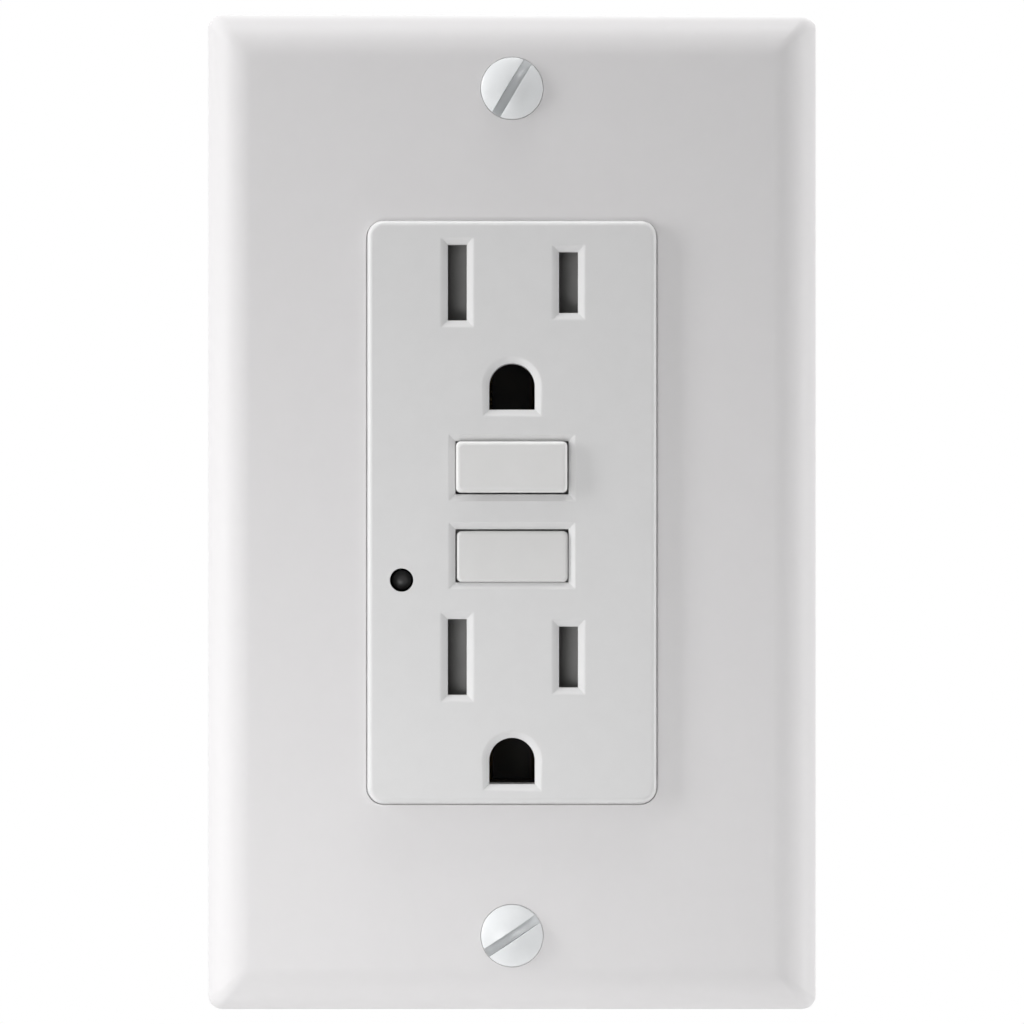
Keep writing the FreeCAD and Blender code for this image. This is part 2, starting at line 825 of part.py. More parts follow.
def make_button(z, trim, front, lip_front):
    """Hollow push button with a lip that stops behind the cover."""
    lip_back = lip_front + lip_thickness
    half_x = button_width / 2 - trim
    half_z = button_height / 2 - trim
    block = pillar(half_x, half_z, front, lip_back, 0, z)
    block = block.makeFillet(button_round, front_rim(block, front))
    lip = pillar(half_x + button_lip, half_z + button_lip - slide, lip_front, lip_back, 0, z)
    hollow = pillar(half_x - button_skin, half_z - button_skin, front + button_skin + gap, lip_back + 1, 0, z)
    return block.fuse(lip).cut(hollow)


def make_reset_button():
    """The reset button has a socket below for its shaft, and the spring bears on the socket's end."""
    button = make_button(reset_line, 0, reset_front, reset_lip)
    socket_half = spring_radius + gap
    socket = pillar(socket_half, socket_half, reset_front + button_skin, reset_back, 0, reset_line)
    bore = rod_y(shaft_radius + seat, reset_front + 2 * button_skin, reset_back + 1, 0, reset_line)
    return button.fuse(socket).cut(bore).removeSplitter()


def make_reset_shaft():
    """Shaft with a neck that the latch plate grips under its shoulder, and a pointed tip."""
    top = reset_front + 2 * button_skin + seat
    neck_front = latch_level - latch_sheet / 2 - reset_travel - 2 * slide
    tip = carriage_back + shaft_tip / 2
    return joined([
        rod_y(shaft_radius, top, neck_front, 0, reset_line),
        rod_y(shaft_neck, neck_front, shoulder_level, 0, reset_line),
        cone_y(shaft_neck, shaft_radius, shoulder_level, shoulder_level + shoulder_taper, 0, reset_line),
        rod_y(shaft_radius, shoulder_level + shoulder_taper, tip - shaft_tip, 0, reset_line),
        cone_y(shaft_radius, shaft_radius / 2, tip - shaft_tip, tip, 0, reset_line),
    ])


def make_reset_spring():
    base = V(0, reset_back + seat, reset_line)
    length = boss_front - reset_back - 2 * seat
    return coil_spring(spring_radius, spring_wire, spring_turns, length, base, V(0, 1, 0), V(1, 0, 0))


def make_test_button():
    """The test button ends in a stem that bends the test spring."""
    button = make_button(test_line, test_trim, test_front, test_lip)
    stem_end = leaf_level - leaf_thickness / 2 - slide
    stem = pillar(stem_width / 2, stem_height / 2, test_front + button_skin, stem_end, 0, test_line)
    return button.fuse(stem).removeSplitter()


def make_test_spring():
    """Leaf that stands on the floor beside the wall of the well and reaches under the button's stem."""
    leg = -well_x + 5 * slide
    path = [(leg, floor_front), (leg, leaf_level), (pin_x + pin_size, leaf_level)]
    low = test_line - leaf_width / 2
    return folded_sheet(path, leaf_thickness, leaf_bend, "xy", low, low + leaf_width)


def make_test_contact():
    top = leaf_level + leaf_thickness / 2 + test_travel + slide
    return pillar(pin_size / 2, pin_size / 2, top, board_back + lead, pin_x, test_line)


def make_shutter(z):
    """Sliding door with two ramps: both blades together push it aside, and its windows let them through."""
    front = shutter_back - shutter_base
    root = shutter_back - shutter_base / 2
    door = box(shutter_low, shutter_high, front, shutter_back, z - shutter_half, z + shutter_half)
    for x in (blade_x, -blade_x):
        foot = x - slot_width / 2 - ramp_foot
        crest = x + slot_width / 2 + ramp_crest
        ramp = [(foot, root), (foot, front), (crest, shutter_front), (crest + ramp_crest, shutter_front),
                (crest + ramp_crest, root)]
        door = door.fuse(polygon_prism(ramp, "xy", z - shutter_half + gap, z + shutter_half - gap))
        window_half = shutter_half - overlap
        window = box(foot - shutter_travel + window_margin, foot - seat / 2, front - 1, shutter_back + 1,
                     z - window_half, z + window_half)
        door = door.cut(window)
    return door.removeSplitter()


def make_shutter_spring(z):
    """Bowed leaf between the shutter's end and the end wall of its tray."""
    rest = shutter_high + slide + shutter_leaf / 2
    apex = tray_high - overlap + slide
    path = [(rest, z - shutter_leaf_reach), (apex, z), (rest, z + shutter_leaf_reach)]
    front = shutter_back - shutter_leaf_width
    return folded_sheet(path, shutter_leaf, shutter_travel / 2, "xz", front, shutter_back)


def make_shutter_tray(z):
    """Tray that carries a shutter on the strap, with rails along it and windows for the blades."""
    half = shutter_half + slide
    low = shutter_low - ramp_foot
    rail_front = face_inside + seat
    outside = half + tray_rail
    pieces = [box(low, tray_high, tray_front, tray_back, z - outside, z + outside)]
    pieces.append(box(low, tray_high, rail_front, tray_back, z - outside, z - half))
    pieces.append(box(low, tray_high, rail_front, tray_back, z + half, z + outside))
    pieces.append(box(tray_high - overlap, tray_high, rail_front, tray_back, z - outside, z + outside))
    tray = joined(pieces)
    window = pillar(slot_width / 2 + gap, neutral_slot / 2 + gap, tray_front - 1, tray_back + 1, blade_x, z)
    return tray.cut(both_sides(window)).removeSplitter()


def make_mounting_strap():
    """Steel strap under the cover, with ears, stakes for the ground contacts and a tab for a screw."""
    ear_middle = (ear_z + strap_length / 2) / 2
    tab_x = -neck_width / 2 + strap_thickness / 2
    tab_low = -ear_z + tab_inset
    path = [(tab_x + tab_root, strap_front / 2), (tab_x, strap_front / 2), (tab_x, tab_reach)]
    tab = folded_sheet(path, strap_thickness, strap_thickness, "xy", tab_low, tab_low + tab_length)
    corner = box(-neck_width / 2 - 1, tab_x + strap_thickness, strap_front - 1, 1, tab_low,
                 tab_low + tab_length)
    body_half = post_z - post_half - gap
    sheet = pillar(strap_x, body_half, strap_front, 0)
    sheet = sheet.fuse([pillar(neck_width / 2, strap_length / 2 - ear_inset, strap_front, 0)]
                       + both_ends(slab(ear_width, ear_length, ear_corner, strap_front, 0, ear_middle)))
    sheet = sheet.cut(corner).fuse(tab)
    cutters = []
    for z in blade_lines:
        cutters.append(pillar(slot_edge + 2 * shutter_margin, shutter_half + gap, strap_front - 1, 1, 0, z))
    for z in ground_lines:
        cutters.append(pillar(cup_half + gap, cup_half + gap, strap_front - 1, 1, 0, z))
    cutters.append(box(-well_x - pocket_wall, well_x + pocket_wall, strap_front - 1, 1, well_low, well_high))
    pipe_half = pipe_radius + 2 * gap
    cutters.append(pillar(pipe_half, pipe_half, strap_front - 1, 1, lamp_x, lamp_z))
    cutters += both_ends(rod_y(box_screw_radius, strap_front - 1, 1, 0, plate_screw_z))
    slot_height = 2 * (box_screw_radius + box_slot_play)
    cutters += both_ends(slab(box_slot_length, slot_height, slot_height / 2, strap_front - 1, 1, box_screw_z))
    cutters.append(rod_x(terminal_screw_radius + seat, tab_x - strap_thickness, tab_x + strap_thickness,
                         green_screw_y, green_screw_z))
    stakes = []
    stake_end = ground_sheet + stake_rise
    for z in ground_lines:
        stakes += both_sides(pillar(stake_size / 2, stake_size / 2, strap_front / 2, stake_end, stake_x, z))
    return sheet.cut(cutters).fuse(stakes).removeSplitter()


def make_ground_contact(z):
    """Spring contact under the strap: two legs grip the ground pin."""
    middle = ground_sheet / 2
    half = ground_leg / 2
    flange = pillar(ground_flange, half + ground_flange_margin, 0, ground_sheet, 0, z)
    flange = flange.cut(pillar(leg_window, half + gap, -1, ground_sheet + 1, 0, z))
    path = [(ground_flange - 2 * ground_flange_margin, middle), (leg_window - slide, middle),
            (leg_window - gap, leg_knee), (ground_pin_radius + ground_pinch, leg_waist),
            (ground_pin_radius + leg_flare, bus_back)]
    leg = folded_sheet(path, ground_sheet, ground_leg_bend, "xy", z - half, z + half)
    hole_half = stake_size / 2 + seat
    hole = pillar(hole_half, hole_half, -1, ground_sheet + 1, stake_x, z)
    return joined([flange] + both_sides(leg)).cut(both_sides(hole))


def make_ground_screw():
    """Hexagonal slotted screw with a washer face, in the strap's tab."""
    x = -neck_width / 2
    corner = green_head_across / math.sqrt(3)
    outline = []
    for k in range(6):
        t = math.radians(60 * k)
        outline.append((green_screw_y + corner * math.cos(t), green_screw_z + corner * math.sin(t)))
    head = polygon_prism(outline, "yz", x - green_washer - green_head, x - green_washer)
    washer_radius = green_head_across / 2 + green_washer_rim
    washer = rod_x(washer_radius, x - green_washer, x, green_screw_y, green_screw_z)
    top = x - green_washer - green_head
    slot = box(top - 1, top + green_slot_depth, green_screw_y - corner - 1, green_screw_y + corner + 1,
               green_screw_z - green_slot_width / 2, green_screw_z + green_slot_width / 2)
    shank = rod_x(terminal_screw_radius, x, x + green_screw_length, green_screw_y, green_screw_z)
    return joined([head.cut(slot), washer, shank])


def make_box_screws():
    """Screws that hold the strap to a wall box."""
    screws = []
    top = strap_front - seat - box_head
    for side in (1, -1):
        z = side * box_screw_z
        head = rod_y(box_head_radius, top, strap_front - seat, 0, z)
        neck = rod_y(box_neck_radius, strap_front - seat, card_thickness, 0, z)
        shank = rod_y(box_screw_radius, card_thickness, box_screw_length, 0, z)
        slot = turned_slot(2 * box_head_radius, box_head_slot, box_head / 2, top, z, side * box_slot_turn)
        screws.append(joined([head, neck, shank]).cut(slot))
    return screws


def make_screw_retainer():
    """Small piece of card that keeps a loose box screw in the strap."""
    card = pillar(card_width / 2, card_height / 2, 0, card_thickness, 0, box_screw_z)
    return card.cut(rod_y(box_neck_radius + seat, -1, card_thickness + 1, 0, box_screw_z))


def cross_block(half_x, half_z, arm_x, arm_z, y0, y1):
    """Block whose corners are left out: a wide middle and narrower ends."""
    return pillar(half_x, arm_z, y0, y1).fuse(pillar(arm_x, half_z, y0, y1)).removeSplitter()


def hot_pockets():
    """Pockets of the middle housing on the hot side: x from and to, z from and to."""
    finger = finger_x + finger_sheet / 2 + gap + seat
    reach = finger_width / 2 + pocket_play
    wall = inner_x - housing_wall - pocket_wall
    pockets = [(bus_x - bus_width / 2 - 3 * seat, bus_x + bus_width / 2 + gap, lower_blade - reach,
                upper_blade + reach)]
    for z in blade_lines:
        pockets.append((blade_x - finger, bus_x, z - reach, z + reach))
    pockets.append((bus_x, wall, load_line - terminal_half, load_line + terminal_half))
    pockets.append((terminal_x - terminal_screw_reach - pocket_wall, wall, line_line - terminal_half,
                    line_line + terminal_half))
    return pockets


def make_middle_housing():
    """Tub under the strap, with a walled pocket for each contact and a guide for the reset shaft."""
    tub = cross_block(inner_x, inner_z, notch_x, notch_z, 0, floor_back)
    hollow = cross_block(inner_x - housing_wall, inner_z - housing_wall, notch_x - housing_wall,
                         notch_z - housing_wall, -1, floor_front)
    walls = []
    hollows = []
    back = floor_front + overlap
    for x0, x1, z0, z1 in hot_pockets():
        walls += both_sides(box(x0 - pocket_wall, x1 + pocket_wall, pocket_front, back, z0 - pocket_wall,
                                z1 + pocket_wall))
        hollows += both_sides(box(x0, x1, -1, floor_front, z0, z1))
    walls.append(box(-well_x - pocket_wall, well_x + pocket_wall, pocket_front, back, well_low - pocket_wall,
                     well_high + pocket_wall))
    hollows.append(box(-well_x, well_x, -1, floor_front, well_low, well_high))
    half_x = leg_window + 2 * pocket_play
    half_z = ground_leg / 2 + overlap
    for z in ground_lines:
        walls.append(pillar(half_x + pocket_wall, half_z + pocket_wall, pocket_front, back, 0, z))
        walls.append(pillar(cup_half + cup_wall, cup_half + cup_wall, floor_front, cup_back, 0, z))
        hollows.append(pillar(half_x, half_z, -1, floor_front, 0, z))
        hollows.append(pillar(cup_half, cup_half, floor_front - 1, cup_floor, 0, z))
        hollows.append(pillar(ground_flange + gap, ground_leg / 2 + ground_flange_margin + pocket_play, -1,
                              ground_sheet + stake_rise + slide, 0, z))
    tub = tub.cut(hollow).fuse(walls).cut(hollows)
    guide_half = shaft_radius + guide_wall
    guide = pillar(guide_half, guide_half, boss_front, back, 0, reset_line)
    peg_end = latch_level + housing_floor
    peg = pillar(peg_size / 2, peg_size / 2, floor_back - overlap, peg_end, peg_x, reset_line - peg_drop)
    cutters = [rod_y(shaft_radius + slide, boss_front - 1, floor_back + 1, 0, reset_line)]
    pin_half = pin_size / 2 + gap
    cutters.append(pillar(pin_half, pin_half, floor_front - 1, floor_back + 1, pin_x, test_line))
    cutters.append(rod_y(pipe_radius + slide, -1, floor_back + 1, lamp_x, lamp_z))
    contact_half = contact_size / 2 + 2 * gap
    cutters += both_sides(pillar(contact_half, contact_half, floor_front - 1, floor_back + 1, bus_x,
                                 contact_line))
    window_front = skirt_drop - pocket_play
    for z in terminal_lines:
        cutters += both_sides(box(terminal_x - pocket_wall, inner_x + 1, window_front, floor_front,
                                  z - terminal_half, z + terminal_half))
    tail_half = strip_width / 2 + brass_bend
    tail_x = terminal_x - strip_back - brass_bend
    cutters += both_sides(box(tail_x, inner_x + 1, floor_front - 1, floor_back + 1, line_line - tail_half,
                              line_line + tail_half))
    return tub.fuse([guide] + both_sides(peg)).cut(cutters).removeSplitter()


def make_rear_housing():
    """Tapered back shell with screw posts, terminal windows and back-wire entries."""
    narrow = 2 * rear_taper
    last = narrow + 2 * rear_bevel
    outer = Part.makeLoft([
        rounded_wire(body_width, body_height, body_corner, skirt_drop),
        rounded_wire(body_width - narrow, body_height - narrow, body_corner, rear_back - rear_bevel),
        rounded_wire(body_width - last, body_height - last, body_corner - rear_bevel, rear_back),
    ], True, True)
    half_x = body_width / 2
    half_z = body_height / 2
    shell = outer.cut(pillar(half_x - rear_wall, half_z - rear_wall, skirt_drop - 1, rear_inside))
    tongue = box(-neck_width / 2, neck_width / 2, seat, skirt_drop + overlap, inner_z + gap + seat,
                 half_z - seat)
    added = both_ends(tongue)
    sleeve = post_half + post_sleeve
    for x, z in post_places:
        added.append(pillar(sleeve, sleeve, post_drop + seat, rear_inside + overlap, x, z))
    block_high = terminal_half + housing_wall
    for z in terminal_lines:
        added += both_sides(box(channel_x, half_x - 2 * rear_taper, floor_back + 2 * slide,
                                rear_inside + overlap, z - block_high, z + block_high))
    added += both_sides(pillar(rail_thickness / 2, board_z - rail_margin, board_back, rear_inside + overlap,
                               rail_x))
    cutters = []
    for x, z in post_places:
        cutters.append(rod_y(housing_screw_radius + slide, post_drop - 1, rear_back + 1, x, z))
        cutters.append(rod_y(housing_head_radius + slide, head_level, rear_back + 1, x, z))
    entry_x = terminal_x + brass / 2 + wire_slot_width / 2 - 2 * slide
    entry_step = terminal_screw_radius + wire_slot_length / 2 - 2 * slide
    for z in terminal_lines:
        cutters += both_sides(box(terminal_x - brass / 2 - 2 * slide, half_x + 1, skirt_drop - 1,
                                  floor_back + 2 * slide, z - terminal_half, z + terminal_half))
        for entry_z in (z - entry_step, z + entry_step):
            cutters += both_sides(pillar(wire_slot_width / 2, wire_slot_length / 2, floor_back - 1,
                                         rear_back + 1, entry_x, entry_z))
    cutters.append(pillar(back_groove_width / 2, back_groove_length / 2, rear_back - back_groove_depth,
                          rear_back + 1))
    return shell.fuse(added).cut(cutters).removeSplitter()


def make_housing_screws():
    """Cross-recessed screws that run from the back into the cover's posts."""
    screws = []
    top = head_level + housing_head
    for x, z in post_places:
        head = rod_y(housing_head_radius, head_level, top, x, z)
        shank = rod_y(housing_screw_radius, flange_front + screw_bite, head_level, x, z)
        recess = [pillar(recess_width / 2, recess_length / 2, top - recess_depth, top + 1, x, z),
                  pillar(recess_length / 2, recess_width / 2, top - recess_depth, top + 1, x, z)]
        screws.append(joined([head, shank]).cut(recess))
    return screws


def terminal_hole(z):
    return rod_x(terminal_screw_radius + seat, terminal_x - brass, terminal_x + brass, terminal_y, z)


def terminal_plate(z, back):
    return box(terminal_x - brass / 2, terminal_x + brass / 2, skirt_drop + terminal_front, back,
               z - terminal_width / 2, z + terminal_width / 2)


def make_load_contact():
    """Bus between the two outlets, with a pair of fingers for each blade and a side terminal."""
    level = (bus_front + bus_back) / 2
    reach = finger_width / 2
    low = lower_blade - reach
    high = upper_blade + reach
    pieces = [box(bus_x - bus_width / 2, bus_x + bus_width / 2, bus_front, bus_back, low, high)]
    pinch = finger_pinch / 2 + finger_sheet / 2
    front = face_front + finger_tip
    half = [(finger_x + gap, front), (pinch, front + finger_neck), (finger_x, front + finger_heel),
            (finger_x, level)]
    path = [(blade_x + a, b) for a, b in half] + [(blade_x - a, b) for a, b in reversed(half)]
    for z in blade_lines:
        pieces.append(folded_sheet(path, finger_sheet, finger_bend, "xy", z - reach, z + reach))
        pieces.append(box(blade_x + finger_x - overlap, bus_x, bus_front, bus_back, z - reach, z + reach))
    path = [(bus_x, level), (terminal_x, level), (terminal_x, skirt_drop + terminal_front)]
    pieces.append(folded_sheet(path, finger_sheet, finger_sheet + gap, "xy", load_line - terminal_width / 2,
                               load_line + terminal_width / 2))
    pieces.append(terminal_plate(load_line, bus_front - overlap))
    return joined(pieces).cut(terminal_hole(load_line))


def make_line_terminal():
    """Screw terminal whose strip runs behind the sensing coils and up through them to the contact arm."""
    arm_out = bus_x + arm_width / 2
    turn_y = floor_back - gap
    plate = terminal_plate(line_line, floor_front - gap)
    path = [(terminal_x, skirt_drop + terminal_front + slide), (terminal_x, turn_y),
            (terminal_x - strip_back, turn_y), (terminal_x - strip_back, strip_level), (strip_x, strip_level),
            (strip_x, arm_level), (arm_out, arm_level)]
    low = line_line - strip_width / 2
    strip = folded_sheet(path, brass, brass_bend, "xy", low, low + strip_width)
    root = box(arm_out - arm_width, arm_out, arm_level - brass / 2, arm_level + brass / 2, low,
               arm_root - slide)
    return joined([plate, strip, root]).cut(terminal_hole(line_line))


def make_terminal_screws():
    """Slotted terminal screws on the hot side, line and load."""
    screws = []
    base = terminal_x + brass / 2 + wire_gap + clamp_thickness
    top = base + terminal_head
    for z in terminal_lines:
        head = rod_x(terminal_head_radius, base, top, terminal_y, z)
        shank = rod_x(terminal_screw_radius, terminal_x - terminal_screw_reach, base, terminal_y, z)
        slot = box(top - terminal_slot_depth, top + 1, terminal_y - terminal_head_radius - 1,
                   terminal_y + terminal_head_radius + 1, z - terminal_slot_width / 2,
                   z + terminal_slot_width / 2)
        screws.append(joined([head, shank]).cut(slot))
    return screws


def make_wire_clamps():
    """Clamp plates under the hot terminal screws, with a wire groove on each side of the screw."""
    clamps = []
    inside = terminal_x + brass / 2 + wire_gap
    outside = inside + clamp_thickness
    half = clamp_size / 2
    low = terminal_y - half
    for z in terminal_lines:
        clamp = box(inside, outside, low, low + clamp_size, z - half, z + half)
        cutters = [rod_x(terminal_screw_radius + seat, inside - 1, outside + 1, terminal_y, z)]
        for groove_z in (z - terminal_screw_radius - groove_half, z + terminal_screw_radius + groove_half):
            groove = [(inside, groove_z - groove_half), (inside + groove_depth, groove_z),
                      (inside, groove_z + groove_half)]
            cutters.append(polygon_prism(groove, "xz", low - 1, low + clamp_size + 1))
        clamps.append(clamp.cut(cutters))
    return clamps


def make_fixed_contact():
    """Silver tip on the load contact that stands in the floor's window."""
    return pillar(contact_size / 2, contact_size / 2, bus_back, fixed_contact_back, bus_x, contact_line)


def make_arm_contact():
    """Silver tip on the contact arm."""
    back = arm_level - arm_thickness / 2
    return pillar(contact_size / 2, contact_size / 2, moving_contact_front, back, bus_x, contact_line)


def make_contact_arm():
    """Spring arm from its bend at the root to its free end over the carriage."""
    high = reset_line + arm_end
    half = arm_thickness / 2
    arm = box(bus_x - arm_width / 2, bus_x + arm_width / 2, arm_level - half, arm_level + half, arm_root,
              high)
    corners = [e for e in arm.Edges if all(v.Z > high - 1e-6 for v in e.Vertexes)
               and abs(e.Vertexes[0].X - e.Vertexes[1].X) < 1e-6]
    return arm.makeChamfer(arm_width / 4, corners)


def make_contact_carriage():
    """Block that the latch lifts: it slides on two pegs and its wings hold the contact arms closed."""
    low = reset_line - carriage_low
    high = reset_line + carriage_high
    body = box(-carriage_half, carriage_half, carriage_top, carriage_back, low, high)
    wing_x = bus_x + arm_width / 2 + wing_margin
    foot_x = peg_x + foot_margin
    wing_low_z = reset_line - wing_low
    wing_high_z = reset_line + wing_high
    wing = box(-wing_x, wing_x, carriage_top, carriage_top + wing_thickness, wing_low_z, wing_high_z)
    foot = box(-foot_x, foot_x, carriage_top, carriage_top + foot_thickness, wing_low_z, wing_high_z)
    shaft_half = shaft_radius + gap
    peg_half = peg_size / 2 + slide
    cutters = [pillar(shaft_half, shaft_half, carriage_top - 1, carriage_back + 1, 0, reset_line)]
    cutters.append(box(-latch_half - slide, latch_half + slide, latch_level - latch_sheet / 2 - slide,
                       latch_level + latch_sheet / 2 + slide, low - 1, high + 1))
    cutters += both_sides(pillar(peg_half, peg_half, carriage_top - 1, carriage_back + 1, peg_x,
                                 reset_line - peg_drop))
    return body.fuse([wing, foot]).cut(cutters).removeSplitter()


def make_latch_plate():
    """Plate that slides through the carriage, grips the shaft's shoulder and hangs on the plunger."""
    half = latch_sheet / 2
    back = hook_front + latch_tab
    plate = box(-latch_half, latch_half, latch_level - half, latch_level + half, reset_line - latch_low, back)
    low = coil_axis - carriage_drop - plunger_head
    upright = box(-latch_half, latch_half, low, coil_axis + plunger_radius, hook_front, back)
    shaft_half = shaft_radius + 2 * slide
    opening = box(-shaft_half, shaft_half, latch_level - latch_sheet, latch_level + latch_sheet,
                  reset_line - shaft_radius - plunger_travel - hook_play, reset_line + shaft_neck + seat)
    head_half = plunger_head + gap
    head_room = box(-head_half, head_half, latch_level - plunger_radius, latch_level + plunger_radius,
                    hook_front - hook_head - latch_tab, hook_front)
    pin_half = plunger_pin + slide
    slot = box(-pin_half, pin_half, low - 1, coil_axis + pin_half, hook_front - 1, back + 1)
    return plate.fuse(upright).cut([opening, head_room, slot]).removeSplitter()


def make_plunger():
    """Iron plunger with a headed pin that pulls the latch plate."""
    head_back = hook_front - hook_play
    collar = frame_low - frame_spring - plunger_collar
    end = frame_high - frame_sheet - plunger_travel - plunger_room
    return joined([
        rod_z(plunger_head, head_back - hook_head, head_back, coil_axis),
        rod_z(plunger_pin, head_back, collar, coil_axis),
        rod_z(collar_radius, collar, collar + plunger_collar, coil_axis),
        rod_z(plunger_radius, collar + plunger_collar, end, coil_axis),
    ])


def make_plunger_spring():
    low = frame_low - frame_spring + seat
    base = V(0, coil_axis, low)
    length = frame_low - seat - low
    wire = plunger_spring_wire
    return coil_spring(plunger_radius + wire, wire, spring_turns, length, base, V(0, 0, 1), V(1, 0, 0))


def make_solenoid_frame():
    """Steel bracket bent round the coil."""
    middle = frame_sheet / 2
    front = coil_axis - coil_form / 2 - slide
    path = [(front, frame_low + middle), (frame_back - middle, frame_low + middle),
            (frame_back - middle, frame_high - middle), (front, frame_high - middle)]
    frame = folded_sheet(path, frame_sheet, frame_sheet, "yz", -coil_form / 2, coil_form / 2)
    return frame.cut(rod_z(plunger_radius + 2 * slide, frame_low - 1, frame_low + 2 * frame_sheet, coil_axis))


def make_solenoid_bobbin():
    z0 = frame_low + frame_sheet + seat
    z1 = frame_high - frame_sheet - seat
    half = coil_form / 2 - seat
    ends = [box(-half, half, coil_axis - half, coil_axis + half, z, z + coil_form_wall)
            for z in (z0, z1 - coil_form_wall)]
    tube = rod_z(plunger_radius + coil_tube_wall, z0, z1, coil_axis)
    return joined(ends + [tube]).cut(rod_z(plunger_radius + slide, z0 - 1, z1 + 1, coil_axis))


def make_solenoid_winding():
    z0 = frame_low + frame_sheet + coil_form_wall + 2 * seat
    z1 = frame_high - frame_sheet - coil_form_wall - 2 * seat
    outer = rod_z(coil_form / 2 - winding_play, z0, z1, coil_axis)
    return outer.cut(rod_z(plunger_radius + coil_tube_wall + seat, z0 - 1, z1 + 1, coil_axis))


def make_coil_holder():
    """Spool that carries the two sensing coils one behind the other round the line strips."""
    pieces = [rod_y(sense_bore, coil_top, coil_bottom, 0, line_line)]
    for k in range(3):
        y = coil_top + k * (ring_height + holder_wall)
        pieces.append(pillar(sense_radius, sense_radius, y, y + holder_wall, 0, line_line))
    for side in (1, -1):
        z = line_line + side * (sense_radius - holder_leg_inset)
        pieces.append(pillar(holder_leg, holder_leg / 2, coil_bottom - holder_wall, board_front, 0, z))
    bore = rod_y(sense_bore - holder_wall, coil_top - 1, coil_bottom + 1, 0, line_line)
    return joined(pieces).cut(bore)


def make_ring_coil(order):
    """Wound ring on the spool."""
    y0 = coil_top + holder_wall + order * (ring_height + holder_wall) + seat
    y1 = y0 + ring_height - 2 * seat
    ring = rod_y(sense_radius - ring_play, y0, y1, 0, line_line)
    return ring.cut(rod_y(sense_bore + seat, y0 - 1, y1 + 1, 0, line_line))


def make_circuit_board():
    board = cross_block(board_x, board_z, notch_x, notch_z, board_front, board_back)
    half = pin_size / 2 + seat
    return board.cut(pillar(half, half, board_front - 1, board_back + 1, pin_x, test_line))


def make_indicator_lens():
    """Clear rod that leads the lamp's light to the face, with a rounded end."""
    front = face_front + pipe_recess
    ball = (pipe_radius ** 2 + pipe_crown ** 2) / (2 * pipe_crown)
    dome = Part.makeSphere(ball, V(lamp_x, front + ball, lamp_z))
    dome = dome.common(rod_y(pipe_radius, front - 1, front + pipe_crown, lamp_x, lamp_z))
    back = board_front - lamp_height - slide
    return joined([dome, rod_y(pipe_radius, front + pipe_crown, back, lamp_x, lamp_z)])


def make_indicator_lamp():
    return pillar(lamp_size / 2, lamp_size / 2, board_front - lamp_height, board_front, lamp_x, lamp_z)


def make_controller_chip():
    """Chip with four pins on each side."""
    z = reset_line + chip_rise
    front = board_front - chip_lift - chip_height
    pieces = [pillar(chip_width / 2, chip_length / 2, front, board_front - chip_lift, chip_x, z)]
    middle = front + chip_height / 2
    for x in (chip_x - chip_width / 2 - chip_leg / 2, chip_x + chip_width / 2 + chip_leg / 2):
        for k in range(4):
            pin_z = z + (k - 1.5) * chip_pitch
            pieces.append(pillar(chip_leg / 2, lead / 2, middle, board_front, x, pin_z))
    return joined(pieces)


def make_surge_absorber():
    """Round disc that stands on two leads."""
    x = board_x - absorber_inset
    z = lower_ground + absorber_rise
    y = board_front - absorber_lift - absorber_radius
    pieces = [rod_x(absorber_radius, x - absorber_thickness / 2, x + absorber_thickness / 2, y, z)]
    for lead_z in (z - absorber_leads, z + absorber_leads):
        pieces.append(pillar(lead, lead, y, board_front, x, lead_z))
    return joined(pieces)


def make_capacitor():
    """Round can that stands on two leads."""
    x = -board_x + capacitor_inset
    z = upper_blade - capacitor_drop
    back = board_front - capacitor_lift
    pieces = [rod_y(capacitor_radius, back - capacitor_length, back, x, z)]
    for lead_x in (x - capacitor_radius / 2, x + capacitor_radius / 2):
        pieces.append(pillar(lead / 2, lead / 2, back, board_front, lead_x, z))
    return joined(pieces)


def make_test_resistor():
    """Resistor that lies along X on two bent leads."""
    y = board_front - resistor_radius - resistor_lift
    half = resistor_length / 2
    reach = half + resistor_leg
    pieces = [rod_x(resistor_radius, resistor_x - half, resistor_x + half, y, test_line)]
    pieces.append(pillar(reach, lead / 2, y - lead / 2, y + lead / 2, resistor_x, test_line))
    for x in (resistor_x - reach + lead / 2, resistor_x + reach - lead / 2):
        pieces.append(pillar(lead / 2, lead / 2, y, board_front, x, test_line))
    return joined(pieces)


def make_diodes():
    """Row of flat rectifier diodes, each soldered at its two end tabs."""
    diodes = []
    for k in range(4):
        z = reset_line - diode_drop + diode_pitch * k
        body = pillar(diode_length / 2, diode_width / 2, board_front - diode_height, board_front - diode_lift,
                      diode_x, z)
        tabs = pillar(diode_length / 2 + diode_tab, diode_width / 3, board_front - diode_height / 2,
                      board_front, diode_x, z)
        diodes.append(joined([body, tabs]))
    return diodes


